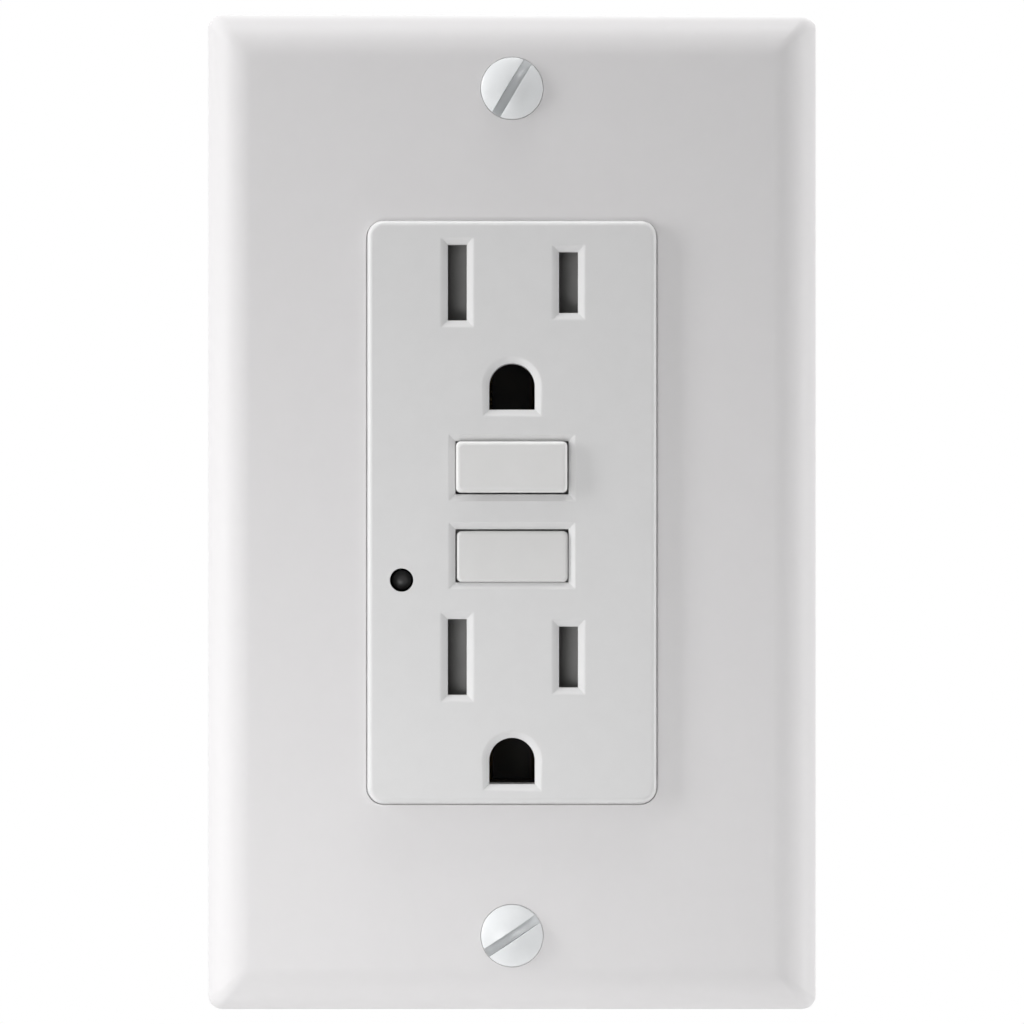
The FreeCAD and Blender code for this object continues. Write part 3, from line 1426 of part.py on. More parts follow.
def sub_parts():
    """Every sub-part of the receptacle: its name and its solids."""
    screws = make_terminal_screws()
    clamps = make_wire_clamps()
    load = make_load_contact()
    line = make_line_terminal()
    arm = make_contact_arm()
    tip = make_arm_contact()
    return {
        "wall_plate": [make_wall_plate()],
        "plate_screws": make_plate_screws(),
        "front_cover": [make_front_cover()],
        "reset_button": [make_reset_button()],
        "reset_shaft": [make_reset_shaft()],
        "reset_spring": [make_reset_spring()],
        "test_button": [make_test_button()],
        "test_spring": [make_test_spring()],
        "test_contact": [make_test_contact()],
        "upper_shutter": [make_shutter(upper_blade)],
        "lower_shutter": [make_shutter(lower_blade)],
        "upper_shutter_spring": [make_shutter_spring(upper_blade)],
        "lower_shutter_spring": [make_shutter_spring(lower_blade)],
        "shutter_trays": [make_shutter_tray(z) for z in blade_lines],
        "mounting_strap": [make_mounting_strap()],
        "box_screws": make_box_screws(),
        "screw_retainers": both_ends(make_screw_retainer()),
        "ground_contacts": [make_ground_contact(z) for z in ground_lines],
        "ground_screw": [make_ground_screw()],
        "middle_housing": [make_middle_housing()],
        "rear_housing": [make_rear_housing()],
        "housing_screws": make_housing_screws(),
        "load_hot_contact": [load],
        "load_neutral_contact": [mirrored(load)],
        "line_hot_terminal": [line],
        "line_neutral_terminal": [mirrored(line)],
        "hot_terminal_screws": screws,
        "neutral_terminal_screws": [mirrored(s) for s in screws],
        "wire_clamps": clamps + [mirrored(c) for c in clamps],
        "fixed_contacts": both_sides(make_fixed_contact()),
        "hot_contact_arm": [arm],
        "neutral_contact_arm": [mirrored(arm)],
        "hot_arm_contact": [tip],
        "neutral_arm_contact": [mirrored(tip)],
        "contact_carriage": [make_contact_carriage()],
        "latch_plate": [make_latch_plate()],
        "plunger": [make_plunger()],
        "plunger_spring": [make_plunger_spring()],
        "solenoid_frame": [make_solenoid_frame()],
        "solenoid_bobbin": [make_solenoid_bobbin()],
        "solenoid_winding": [make_solenoid_winding()],
        "coil_holder": [make_coil_holder()],
        "sense_coil": [make_ring_coil(0)],
        "neutral_coil": [make_ring_coil(1)],
        "circuit_board": [make_circuit_board()],
        "controller_chip": [make_controller_chip()],
        "surge_absorber": [make_surge_absorber()],
        "capacitor": [make_capacitor()],
        "test_resistor": [make_test_resistor()],
        "diodes": make_diodes(),
        "indicator_lens": [make_indicator_lens()],
        "indicator_lamp": [make_indicator_lamp()],
    }


def main():
    os.makedirs("parts", exist_ok=True)
    for name, shapes in sub_parts().items():
        solids = [solid for shape in shapes for solid in shape.Solids]
        shape = solids[0] if len(solids) == 1 else Part.makeCompound(solids)
        if not shape.isValid():
            print("not valid:", name)
        print(name, len(solids), "solids,", round(sum(s.Volume for s in solids), 2), "mm3")
        shape.exportStep("parts/%s.step" % name)


main()
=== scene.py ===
# %% [markdown]
# A wall receptacle, dressed for its picture
#
# The receptacle comes in as a frame of plain solids, each at its real size and place. This file gives every
# visible piece its finish, and builds the pieces that face the viewer anew with finer edges, because light
# shows a small part mainly through the thin highlights on its edges. Sizes are in millimetres up to the
# moment a mesh is made, and Blender's own unit, the metre, is used from there on.

# %% Frame and overall size
import math

import bmesh
import bpy
from mathutils import Matrix, Vector


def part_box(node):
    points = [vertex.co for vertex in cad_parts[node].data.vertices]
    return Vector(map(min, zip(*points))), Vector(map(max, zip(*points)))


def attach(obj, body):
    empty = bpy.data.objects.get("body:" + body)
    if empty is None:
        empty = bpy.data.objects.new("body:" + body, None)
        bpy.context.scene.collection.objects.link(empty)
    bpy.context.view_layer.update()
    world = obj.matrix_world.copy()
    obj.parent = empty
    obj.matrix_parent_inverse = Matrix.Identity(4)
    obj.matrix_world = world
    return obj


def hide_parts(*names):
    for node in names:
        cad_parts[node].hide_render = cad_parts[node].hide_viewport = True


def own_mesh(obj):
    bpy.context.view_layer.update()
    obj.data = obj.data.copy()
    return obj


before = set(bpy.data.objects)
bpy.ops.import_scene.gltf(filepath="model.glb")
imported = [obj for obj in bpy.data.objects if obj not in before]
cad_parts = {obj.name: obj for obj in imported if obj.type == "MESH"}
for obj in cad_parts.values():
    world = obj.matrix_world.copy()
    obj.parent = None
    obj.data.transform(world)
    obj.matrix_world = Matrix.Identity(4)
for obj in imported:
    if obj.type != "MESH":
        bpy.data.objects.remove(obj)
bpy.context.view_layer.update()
MM = 0.001


def corners(node):
    """Lowest and highest corner of a solid of the frame, in millimetres."""
    low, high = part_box(node)
    return low / MM, high / MM


def middle_z(node):
    """Level of the middle of a solid of the frame, in millimetres."""
    low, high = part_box(node)
    return (low.z + high.z) / 2 / MM


plate_low, plate_high = corners("wall_plate")
cover_low, cover_high = corners("front_cover")
strap_front = corners("mounting_strap")[0].y
print("plate", plate_high - plate_low, "cover", cover_high - cover_low)

# %% [markdown]
# Camera
#
# A product picture of a flat thing is taken from far away with a long lens, so that its sides stay parallel.
# The camera stands straight before the middle of the plate. Its lens follows from the distance and from how
# many pixels a millimetre of the face takes up, so both can be changed without guessing.

# %% Camera
picture_pixels = 1024
pixels_per_mm = 8.765
camera_distance = 650.0
sensor = 36.0
clip_end = 20.0
face_front = cover_low.y

camera_data = bpy.data.cameras.new("camera")
camera_data.sensor_width = sensor
camera_data.lens = sensor * camera_distance * pixels_per_mm / picture_pixels
camera_data.clip_end = clip_end
camera = bpy.data.objects.new("camera", camera_data)
camera.location = (0, (face_front - camera_distance) * MM, 0)
camera.rotation_euler = (math.radians(90), 0, 0)
bpy.context.scene.collection.objects.link(camera)
bpy.context.scene.camera = camera
print("lens", round(camera_data.lens, 1))

# %% [markdown]
# Shader node groups
#
# Moulded plastic is never one flat colour: it has a faint mottle, a skin as fine as the mould was polished,
# and a long slow waviness where it shrank. Sheet metal has streaks along the way it was rolled. Each effect
# is one node group with named inputs, built once, and every material that needs it takes a copy with its own
# values. The groups only hand out colours, values and heights, and the shader stays in the material.


# %% Helpers for node groups
def new_group(name, inputs, outputs):
    """Empty shader group; returns it with the sockets that it is given and those that it puts out."""
    group = bpy.data.node_groups.new(name, "ShaderNodeTree")
    for label, kind, value in inputs:
        socket = group.interface.new_socket(label, in_out="INPUT", socket_type="NodeSocket" + kind)
        socket.default_value = value
    for label, kind in outputs:
        group.interface.new_socket(label, in_out="OUTPUT", socket_type="NodeSocket" + kind)
    given = group.nodes.new("NodeGroupInput").outputs
    return group, given, group.nodes.new("NodeGroupOutput").inputs


def wire(tree, start, end):
    tree.links.new(start, end)


def add_node(tree, kind, **settings):
    """New node of that kind with its properties set."""
    node = tree.nodes.new("ShaderNode" + kind)
    for key, value in settings.items():
        setattr(node, key, value)
    return node


def feed(tree, value, socket):
    """Wires a socket to another one, or sets it to a plain value."""
    if isinstance(value, bpy.types.NodeSocket):
        wire(tree, value, socket)
    else:
        socket.default_value = value


def blend_colours(tree, factor, first, second, mode="MIX"):
    """Mix node for colours; each argument is a socket or a value."""
    mix = add_node(tree, "Mix", data_type="RGBA", blend_type=mode)
    for index, value in ((0, factor), (6, first), (7, second)):
        feed(tree, value, mix.inputs[index])
    return mix.outputs[2]


def reach(tree, value, low, high, to_low, to_high):
    """Map Range node; the last two arguments may be sockets."""
    node = add_node(tree, "MapRange")
    wire(tree, value, node.inputs["Value"])
    for label, bound in (("From Min", low), ("From Max", high), ("To Min", to_low), ("To Max", to_high)):
        feed(tree, bound, node.inputs[label])
    return node.outputs["Result"]


def noise(tree, place, scale, detail, roughness=0.5):
    node = add_node(tree, "TexNoise")
    wire(tree, place, node.inputs["Vector"])
    feed(tree, scale, node.inputs["Scale"])
    node.inputs["Detail"].default_value = detail
    node.inputs["Roughness"].default_value = roughness
    return node.outputs["Fac"]


def product(tree, first, second, operation="MULTIPLY"):
    """Math node; each argument is a socket or a number."""
    node = add_node(tree, "Math", operation=operation)
    for index, value in ((0, first), (1, second)):
        feed(tree, value, node.inputs[index])
    return node.outputs[0]


def gloss(group, given, out, cloud, low, high):
    """Roughness that wanders about its given value with the clouds of a noise."""
    shinier = product(group, given["Roughness"], given["Gloss Change"], "SUBTRACT")
    duller = product(group, given["Roughness"], given["Gloss Change"], "ADD")
    wire(group, reach(group, cloud, low, high, shinier, duller), out["Roughness"])


# %% Group: moulded skin
wave_scale = 70.0
patch_scale = 420.0


def make_moulded_skin():
    """Mottle in the colour, a change of gloss, and a height made of waviness and fine grain."""
    group, given, out = new_group("moulded_skin", [
        ("Colour", "Color", (0.8, 0.8, 0.8, 1)),
        ("Mottle", "Float", 0.02),
        ("Roughness", "Float", 0.3),
        ("Gloss Change", "Float", 0.04),
        ("Wave Height", "Float", 0.5),
        ("Grain Scale", "Float", 9000.0),
        ("Grain Height", "Float", 0.2),
    ], [("Colour", "Color"), ("Roughness", "Float"), ("Height", "Float")])
    place = add_node(group, "TexCoord").outputs["Object"]
    slow = noise(group, place, wave_scale, 2.0)
    patchy = noise(group, place, patch_scale, 4.0, 0.6)
    grain = noise(group, place, given["Grain Scale"], 2.0, 0.7)
    shade = reach(group, patchy, 0.3, 0.7, product(group, 1.0, given["Mottle"], "SUBTRACT"), 1.0)
    tint = add_node(group, "CombineColor")
    for index in range(3):
        wire(group, shade, tint.inputs[index])
    mottled = blend_colours(group, 1.0, given["Colour"], tint.outputs[0], "MULTIPLY")
    wire(group, mottled, out["Colour"])
    gloss(group, given, out, patchy, 0.25, 0.75)
    waves = product(group, slow, given["Wave Height"])
    fine = product(group, grain, given["Grain Height"])
    wire(group, product(group, waves, fine, "ADD"), out["Height"])
    return group


moulded_skin = make_moulded_skin()
print("group", moulded_skin.name, len(moulded_skin.nodes), "nodes")


# %% Group: rolled metal
def make_rolled_metal():
    """Streaks along one way of the sheet, with cloudy plating over them."""
    group, given, out = new_group("rolled_metal", [
        ("Colour", "Color", (0.6, 0.6, 0.6, 1)),
        ("Dark Colour", "Color", (0.4, 0.4, 0.4, 1)),
        ("Stretch", "Vector", (1.0, 1.0, 0.05)),
        ("Streak Scale", "Float", 2500.0),
        ("Cloud Scale", "Float", 260.0),
        ("Roughness", "Float", 0.35),
        ("Gloss Change", "Float", 0.12),
    ], [("Colour", "Color"), ("Roughness", "Float"), ("Height", "Float")])
    place = add_node(group, "TexCoord").outputs["Object"]
    stretched = add_node(group, "VectorMath", operation="MULTIPLY")
    wire(group, place, stretched.inputs[0])
    wire(group, given["Stretch"], stretched.inputs[1])
    streaks = noise(group, stretched.outputs[0], given["Streak Scale"], 3.0, 0.6)
    clouds = noise(group, place, given["Cloud Scale"], 5.0, 0.65)
    both = product(group, product(group, streaks, 0.6), product(group, clouds, 0.6), "ADD")
    pale = reach(group, both, 0.4, 0.8, 0.0, 1.0)
    plating = blend_colours(group, pale, given["Dark Colour"], given["Colour"])
    wire(group, plating, out["Colour"])
    gloss(group, given, out, clouds, 0.3, 0.7)
    wire(group, streaks, out["Height"])
    return group


rolled_metal = make_rolled_metal()
print("group", rolled_metal.name, len(rolled_metal.nodes), "nodes")


# %% Group: wound wire
def make_wound_wire():
    """Turns of wire along one axis, with painted shade in the gaps between them and a height in step."""
    group, given, out = new_group("wound_wire", [
        ("Colour", "Color", (0.5, 0.2, 0.06, 1)),
        ("Gap Colour", "Color", (0.1, 0.03, 0.01, 1)),
        ("Along", "Vector", (0.0, 0.0, 1.0)),
        ("Turns per Metre", "Float", 4000.0),
    ], [("Colour", "Color"), ("Height", "Float")])
    place = add_node(group, "TexCoord").outputs["Object"]
    along = add_node(group, "VectorMath", operation="DOT_PRODUCT")
    wire(group, place, along.inputs[0])
    wire(group, given["Along"], along.inputs[1])
    turns = product(group, along.outputs["Value"], given["Turns per Metre"])
    phase = product(group, turns, 2 * math.pi)
    crest = product(group, product(group, phase, 0.0, "SINE"), 1.0, "ADD")
    half = product(group, crest, 0.5)
    # Painted shade: the colour darkens towards the gaps between the turns and is plain copper on the crests.
    turns_with_painted_shade = blend_colours(group, half, given["Gap Colour"], given["Colour"])
    wire(group, turns_with_painted_shade, out["Colour"])
    wire(group, half, out["Height"])
    return group


wound_wire = make_wound_wire()
print("group", wound_wire.name, len(wound_wire.nodes), "nodes")

# %% [markdown]
# Materials
#
# The whites of plate, face and buttons differ a little, because they come from different moulds. Inside are
# greys and blacks, plated steel, brass and copper. Each takes one effect group in front of a Principled
# shader. What is the same all over stands on a socket of that shader, where it is easy to read and change.

# %% Materials from the groups
plastic_height = 0.0001
metal_height = 0.00005
metal_strength = 0.12
winding_height = 0.00012


def new_material(name, group, values, height_strength, height_distance, **shader_values):
    """Material with one effect group before a Principled shader."""
    material = bpy.data.materials.new(name)
    material.use_nodes = True
    tree = material.node_tree
    shader = tree.nodes["Principled BSDF"]
    effect = add_node(tree, "Group")
    effect.node_tree = group
    for label, value in values.items():
        effect.inputs[label].default_value = value
    wire(tree, effect.outputs["Colour"], shader.inputs["Base Color"])
    if "Roughness" in effect.outputs:
        wire(tree, effect.outputs["Roughness"], shader.inputs["Roughness"])
    bump = add_node(tree, "Bump")
    bump.inputs["Strength"].default_value = height_strength
    bump.inputs["Distance"].default_value = height_distance
    wire(tree, effect.outputs["Height"], bump.inputs["Height"])
    wire(tree, bump.outputs["Normal"], shader.inputs["Normal"])
    for label, value in shader_values.items():
        shader.inputs[label.replace("_", " ")].default_value = value
    material.diffuse_color = values["Colour"]
    return material


def plastic(name, colour, roughness, grain=0.15, mottle=0.02, waves=0.5, strength=0.25, **shader_values):
    values = {"Colour": (*colour, 1), "Roughness": roughness, "Mottle": mottle, "Grain Height": grain,
              "Wave Height": waves, "Gloss Change": roughness * 0.12}
    return new_material(name, moulded_skin, values, strength, plastic_height, **shader_values)


def metal(name, colour, dark, roughness, **shader_values):
    values = {"Colour": (*colour, 1), "Dark Colour": (*dark, 1), "Roughness": roughness,
              "Gloss Change": roughness * 0.25}
    return new_material(name, rolled_metal, values, metal_strength, metal_height, Metallic=1.0,
                        **shader_values)


# The second colour is the painted shade in the gaps between the turns of wire.
def winding(name, colour, painted_gap_shade, along, turns_per_metre):
    values = {"Colour": (*colour, 1), "Gap Colour": (*painted_gap_shade, 1), "Along": along,
              "Turns per Metre": turns_per_metre}
    return new_material(name, wound_wire, values, 1.0, winding_height, Roughness=0.3, Coat_Weight=0.3)


# %% Plastics
plate_white = plastic("plate_white", (0.755, 0.743, 0.748), 0.5, grain=0.03, mottle=0.012, waves=1.0,
                      strength=0.12, Specular_IOR_Level=0.3)
face_white = plastic("face_white", (0.72, 0.718, 0.719), 0.42, grain=0.35, mottle=0.02, strength=0.2)
button_white = plastic("button_white", (0.738, 0.734, 0.728), 0.36, grain=0.3, mottle=0.02, strength=0.2)
screw_paint = plastic("screw_paint", (0.765, 0.78, 0.79), 0.32, grain=0.6, mottle=0.03, waves=1.4,
                      strength=0.35, Coat_Weight=0.4, Coat_Roughness=0.15)
shutter_grey = plastic("shutter_grey", (0.3, 0.297, 0.292), 0.42, grain=0.3, mottle=0.08, strength=0.3)
lens_smoke = plastic("lens_smoke", (0.009, 0.009, 0.009), 0.34, grain=0.02, waves=0.2, strength=0.1,
                     Specular_IOR_Level=0.38)
black_plastic = plastic("black_plastic", (0.02, 0.02, 0.022), 0.4, grain=0.3, mottle=0.1, strength=0.3)
housing_black = plastic("housing_black", (0.035, 0.035, 0.037), 0.45, grain=0.5, mottle=0.12, strength=0.4)
# The middle housing is light grey, but here it is coloured near black: painted shade for the holes and slots
# it shows through.
tub_black_painted_shade = plastic("tub_black_painted_shade", (0.05, 0.05, 0.052), 0.5, grain=0.5, mottle=0.1, strength=0.4)
card = plastic("card", (0.62, 0.56, 0.44), 0.85, grain=1.0, mottle=0.25, waves=1.0, strength=0.8)
board_green = plastic("board_green", (0.03, 0.18, 0.06), 0.35, grain=0.4, mottle=0.2, strength=0.3)
blue_coat = plastic("blue_coat", (0.04, 0.12, 0.4), 0.3, grain=0.2, mottle=0.1)
tan_coat = plastic("tan_coat", (0.55, 0.4, 0.24), 0.4, grain=0.3, mottle=0.1)
lamp_tint = plastic("lamp_tint", (0.35, 0.55, 0.35), 0.25, grain=0.1, mottle=0.05)
print("plastics", len(bpy.data.materials))

# %% Metals and windings
copper = (0.5, 0.2, 0.06)
# Darker copper, used as painted shade in the gaps between the turns of wire.
copper_painted_gap_shade = (0.1, 0.03, 0.01)
zinc = metal("zinc", (0.66, 0.67, 0.69), (0.44, 0.46, 0.49), 0.36)
nickel = metal("nickel", (0.72, 0.7, 0.66), (0.5, 0.48, 0.45), 0.28)
brass = metal("brass", (0.78, 0.57, 0.24), (0.52, 0.34, 0.12), 0.3)
spring_steel = metal("spring_steel", (0.5, 0.5, 0.52), (0.3, 0.3, 0.32), 0.3)
green_dye = metal("green_dye", (0.05, 0.36, 0.12), (0.02, 0.2, 0.06), 0.34, Coat_Weight=0.3)
coil_copper = winding("coil_copper", copper, copper_painted_gap_shade, (0.0, 0.0, 1.0), 4500.0)
ring_copper = winding("ring_copper", copper, copper_painted_gap_shade, (0.0, 1.0, 0.0), 3500.0)
print("materials", len(bpy.data.materials))

# %% [markdown]
# Meshes from rings
#
# Most moulded pieces are a stack of outlines that shrink a little where an edge is rounded. So a shell is a
# list of rings with the same number of points, and neighbouring rings are skinned with quads. It gives clean
# highlights, because the faces run along the edges. Holes are cut afterwards with boolean modifiers, and a
# last bevel softens what the cutting left sharp.


# %% Helpers for rings and solids
def ring(width, height, corner, y, x=0.0, z=0.0, steps=8):
    """Points of a rectangle with round corners in the plane at y."""
    points = []
    for sx, sz, start in ((1, 1, 0), (-1, 1, 90), (-1, -1, 180), (1, -1, 270)):
        for k in range(steps + 1):
            angle = math.radians(start + 90 * k / steps)
            points.append((x + sx * (width / 2 - corner) + corner * math.cos(angle), y,
                           z + sz * (height / 2 - corner) + corner * math.sin(angle)))
    return points


def rounded_edge(radius, steps, first=0):
    """Inset and depth of the levels of a rounded edge, from its front to its side."""
    angles = [math.radians(90 * k / steps) for k in range(first, steps + 1)]
    return [(radius * (1 - math.sin(a)), radius * (1 - math.cos(a))) for a in angles]


def skin(bm, rings, closed=False):
    """Quads between rings; the ends are capped, or joined to each other where the stack is closed."""
    rows = [[bm.verts.new(Vector(p) * MM) for p in points] for points in rings]
    pairs = list(zip(rows, rows[1:]))
    if closed:
        pairs.append((rows[-1], rows[0]))
    else:
        bm.faces.new(rows[0])
        bm.faces.new(rows[-1])
    for first, second in pairs:
        count = len(first)
        for i in range(count):
            j = (i + 1) % count
            bm.faces.new((first[i], first[j], second[j], second[i]))


def to_object(bm, name):
    """Object made from the bmesh, with its normals turned outwards."""
    bmesh.ops.recalc_face_normals(bm, faces=bm.faces)
    mesh = bpy.data.meshes.new(name)
    bm.to_mesh(mesh)
    bm.free()
    piece = bpy.data.objects.new(name, mesh)
    bpy.context.scene.collection.objects.link(piece)
    return piece


def from_rings(name, rings, closed=False):
    bm = bmesh.new()
    skin(bm, rings, closed)
    return to_object(bm, name)


def block(x0, x1, y0, y1, z0, z1):
    """Box between two corners, used for cutting and joining."""
    return from_rings("block", [((x0, y, z0), (x1, y, z0), (x1, y, z1), (x0, y, z1)) for y in (y0, y1)])


def pillar(half_x, half_z, y0, y1, x=0.0, z=0.0):
    return block(x - half_x, x + half_x, y0, y1, z - half_z, z + half_z)


def turned(name, profile, x=0.0, z=0.0, segments=64):
    """Solid of revolution about a line along Y: the profile lists radius and level."""
    rings = []
    for radius, y in profile:
        rings.append([(x + radius * math.cos(2 * math.pi * k / segments), y,
                       z + radius * math.sin(2 * math.pi * k / segments)) for k in range(segments)])
    return from_rings(name, rings)


# %% Helpers for cutting, edges and finish
weld_distance = 1e-7
crease_angle = 30.0


def settle(piece):
    """Replaces the mesh by what its modifiers make of it."""
    depsgraph = bpy.context.evaluated_depsgraph_get()
    mesh = bpy.data.meshes.new_from_object(piece.evaluated_get(depsgraph))
    piece.modifiers.clear()
    piece.data = mesh
    mesh.name = piece.name


def cut(piece, cutters, operation="DIFFERENCE"):
    """Cuts the cutters from the piece, or joins them to it, and removes them."""
    for cutter in cutters:
        modifier = piece.modifiers.new("cut", "BOOLEAN")
        modifier.operation = operation
        modifier.solver = "EXACT"
        modifier.object = cutter
    settle(piece)
    for cutter in cutters:
        bpy.data.objects.remove(cutter)


def bevel_edges(piece, width, segments, angle):
    """Bevel modifier for the edges that turn by more than an angle in degrees."""
    bevel = piece.modifiers.new("soft edge", "BEVEL")
    bevel.width = width * MM
    bevel.segments = segments
    bevel.limit_method = "ANGLE"
    bevel.angle_limit = math.radians(angle)
    return bevel


def soften(piece, width, segments=2):
    """Rounds the sharp edges and keeps flat faces flat in the light."""
    bm = bmesh.new()
    bm.from_mesh(piece.data)
    bmesh.ops.remove_doubles(bm, verts=bm.verts, dist=weld_distance)
    for face in bm.faces:
        face.smooth = True
    for edge in bm.edges:
        edge.smooth = edge.is_manifold and edge.calc_face_angle(0.0) < math.radians(crease_angle)
    bm.to_mesh(piece.data)
    bm.free()
    if width:
        bevel_edges(piece, width, segments, crease_angle).miter_outer = "MITER_ARC"
    piece.modifiers.new("even normals", "WEIGHTED_NORMAL").keep_sharp = not width


def dress(piece, material, body, nodes):
    """Gives a piece its material, the body that it moves with, and the nodes that it stands for."""
    piece.data.materials.clear()
    piece.data.materials.append(material)
    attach(piece, body)
    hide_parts(*nodes)
    print(piece.name, len(piece.data.vertices), "points")


# %% [markdown]
# Wall plate
#
# The plate is a thin dish. Seen from the front its edge is one wide curved bevel with mitred corners, and
# that bevel catches the side light. A bevelled box would get round corners too, so rings are used: the stack
# starts at the wall, goes up the rim, round the bevel and across the front to the opening, and comes back
# along the inside. The first and the last ring join, so the shell is closed without any cutting.

# %% Wall plate: sizes
opening_width = 33.24
opening_height = 66.7
opening_x = -0.025
opening_z = -0.09
opening_corner = 1.95
opening_round = 0.12
plate_corner = 1.6
mitre_corner = 0.5
bevel_run = 5.1
plate_rim = 1.6
rim_round = 0.15
plate_wall = 2.2
plate_width = plate_high.x - plate_low.x
plate_height = plate_high.z - plate_low.z
plate_front = plate_low.y
plate_inside = plate_front + plate_wall
bevel_rise = -plate_front - plate_rim
bevel_radius = (bevel_run ** 2 + bevel_rise ** 2) / (2 * bevel_rise)
bevel_centre = plate_front + bevel_radius
outer_steps = 20
inner_steps = 8
inner_share = 0.99
print("radius of the bevel", round(bevel_radius, 2))


# %% Wall plate: shell
def bevel_rings(run, radius, inset, corner_out, corner_in, steps):
    """Rings of the curved bevel from the rim to the front: the corner shrinks to a mitre on the way."""
    first = math.asin(run / radius)
    rings = []
    for k in range(steps + 1):
        angle = first * (1 - k / steps)
        reach_in = inset + run - radius * math.sin(angle)
        corner = corner_out + (corner_in - corner_out) * k / steps
        rings.append(ring(plate_width - 2 * reach_in, plate_height - 2 * reach_in, corner,
                          bevel_centre - radius * math.cos(angle)))
    return rings


def opening_ring(grow, y):
    """Outline of the plate's opening, wider by grow all round."""
    return ring(opening_width + 2 * grow, opening_height + 2 * grow, opening_corner + grow, y,
                opening_x, opening_z)


def make_plate():
    rings = [ring(plate_width - 2 * rim_round, plate_height - 2 * rim_round, plate_corner - rim_round, 0),
             ring(plate_width, plate_height, plate_corner, -rim_round)]
    rings += bevel_rings(bevel_run, bevel_radius, 0, plate_corner, mitre_corner, outer_steps)
    for grow, depth in rounded_edge(opening_round, 4):
        rings.append(opening_ring(grow, plate_front + depth))
    rings.append(opening_ring(0, plate_inside))
    inner_radius = bevel_radius - plate_wall
    inner_run = inner_radius * inner_share
    inset = bevel_run - inner_run
    rings += bevel_rings(inner_run, inner_radius, inset, mitre_corner, mitre_corner, inner_steps)[::-1]
    rings.append(ring(plate_width - 2 * inset, plate_height - 2 * inset, mitre_corner, 0))
    return from_rings("plate_shell", rings, closed=True)


plate_shell = make_plate()
print("plate shell", len(plate_shell.data.polygons), "faces")

# %% Wall plate: screw holes, bosses and ribs
plate_screw_z = 48.42
hole_radius = 2.0
head_radius = 3.535
head_seat = 0.1
sink_slope = math.tan(math.radians(41))
sink_radius = head_radius + head_seat
sink_depth = (sink_radius - hole_radius) / sink_slope
boss_radius = head_radius - 0.25
boss_gap = 0.05
rib_thickness = 1.0
rib_height = 1.8
rib_x = cover_high.x + 4.5
rib_z = plate_high.z - 9.0
overlap = 0.25


def add_plate_details(plate):
    root = plate_inside - overlap
    added = [pillar(rib_thickness / 2, rib_z, root, plate_inside + rib_height, side * rib_x)
             for side in (1, -1)]
    holes = []
    for z in (plate_screw_z, -plate_screw_z):
        boss = [(boss_radius, root), (boss_radius, strap_front - boss_gap)]
        added.append(turned("boss", boss, 0, z, 48))
        hole = [(sink_radius, plate_front - 1), (sink_radius, plate_front),
                (hole_radius, plate_front + sink_depth), (hole_radius, 1)]
        holes.append(turned("hole", hole, 0, z))
    cut(plate, added, "UNION")
    cut(plate, holes)


add_plate_details(plate_shell)
soften(plate_shell, 0.0)
dress(plate_shell, plate_white, "receptacle", ["wall_plate"])

# %% [markdown]
# Plate screws
#
# The two plate screws have oval heads under white paint, and each slot was left at its own angle. The head
# is turned from a profile. A disc cuts the slot, like the saw in a factory, so it is deepest in the middle.
# A bump texture could stand for the thread, but a real helix also shows in outline: each ring of points is
# a little higher than the last, and its radius swells and shrinks with height and angle together.

# %% Thread, saw and joining
thread_depth = 0.42
thread_end_depth = 0.35
thread_sides = 28
levels_per_turn = 6


def make_thread(radius, pitch, y0, y1, z=0.0):
    """Screw thread along Y that fades out at both ends."""
    depth = pitch * thread_depth
    count = max(2, round((y1 - y0) / pitch * levels_per_turn))
    rings = []
    for i in range(count + 1):
        y = y0 + (y1 - y0) * i / count
        run_out = min(1.0, (y1 - y) / pitch, (y - y0) / pitch)
        points = []
        for k in range(thread_sides):
            angle = 2 * math.pi * k / thread_sides
            phase = (y / pitch - k / thread_sides) % 1.0
            crest = abs(2 * phase - 1)
            r = radius - depth * (1 - crest) * run_out - depth * thread_end_depth * (1 - run_out)
            points.append((r * math.cos(angle), y, z + r * math.sin(angle)))
        rings.append(points)
    return from_rings("thread", rings)


def place_cutter(cutter, z, turn):
    """Turns a driver's slot about the screw's axis and moves it to the screw."""
    turn_matrix = Matrix.Rotation(-math.radians(turn), 4, "Y")
    cutter.data.transform(Matrix.Translation(Vector((0, 0, z)) * MM) @ turn_matrix)
    return cutter


def saw_cutter(radius, width, bottom, z, turn, steps=96):
    """Disc of a slotting saw that reaches into a head down to the level of bottom."""
    angles = [2 * math.pi * k / steps for k in range(steps)]
    rings = [[(radius * math.cos(a), bottom - radius + radius * math.sin(a), side * width / 2)
              for a in angles] for side in (-1, 1)]
    return place_cutter(from_rings("saw", rings), z, turn)


def join_meshes(name, pieces):
    """One object from several, each keeping its own closed shell."""
    bm = bmesh.new()
    for piece in pieces:
        bm.from_mesh(piece.data)
    joined = to_object(bm, name)
    for piece in pieces:
        bpy.data.objects.remove(piece)
    return joined


# %% Plate screws
thread_pitch = 0.794
head_crown = 1.2
head_lift = 0.2
head_edge_round = 0.12
head_softness = 0.14
saw_width = 1.1
saw_depth = 2.5
saw_radius = 5.2
shank_radius = 1.7
neck_end = 0.3
thread_start = 0.2
plate_thread_radius = 1.72
plate_screw_end = plate_front + 12.7
upper_turn = 59.0
lower_turn = 33.9


def dome(radius, rise, top, steps):
    """Profile of a low dome from beside its middle, at the level of top, to its edge."""
    ball = (radius ** 2 + rise ** 2) / (2 * rise)
    edge = math.asin(radius / ball)
    return [(ball * math.sin(edge * k / steps), top + ball * (1 - math.cos(edge * k / steps)))
            for k in range(1, steps + 1)]


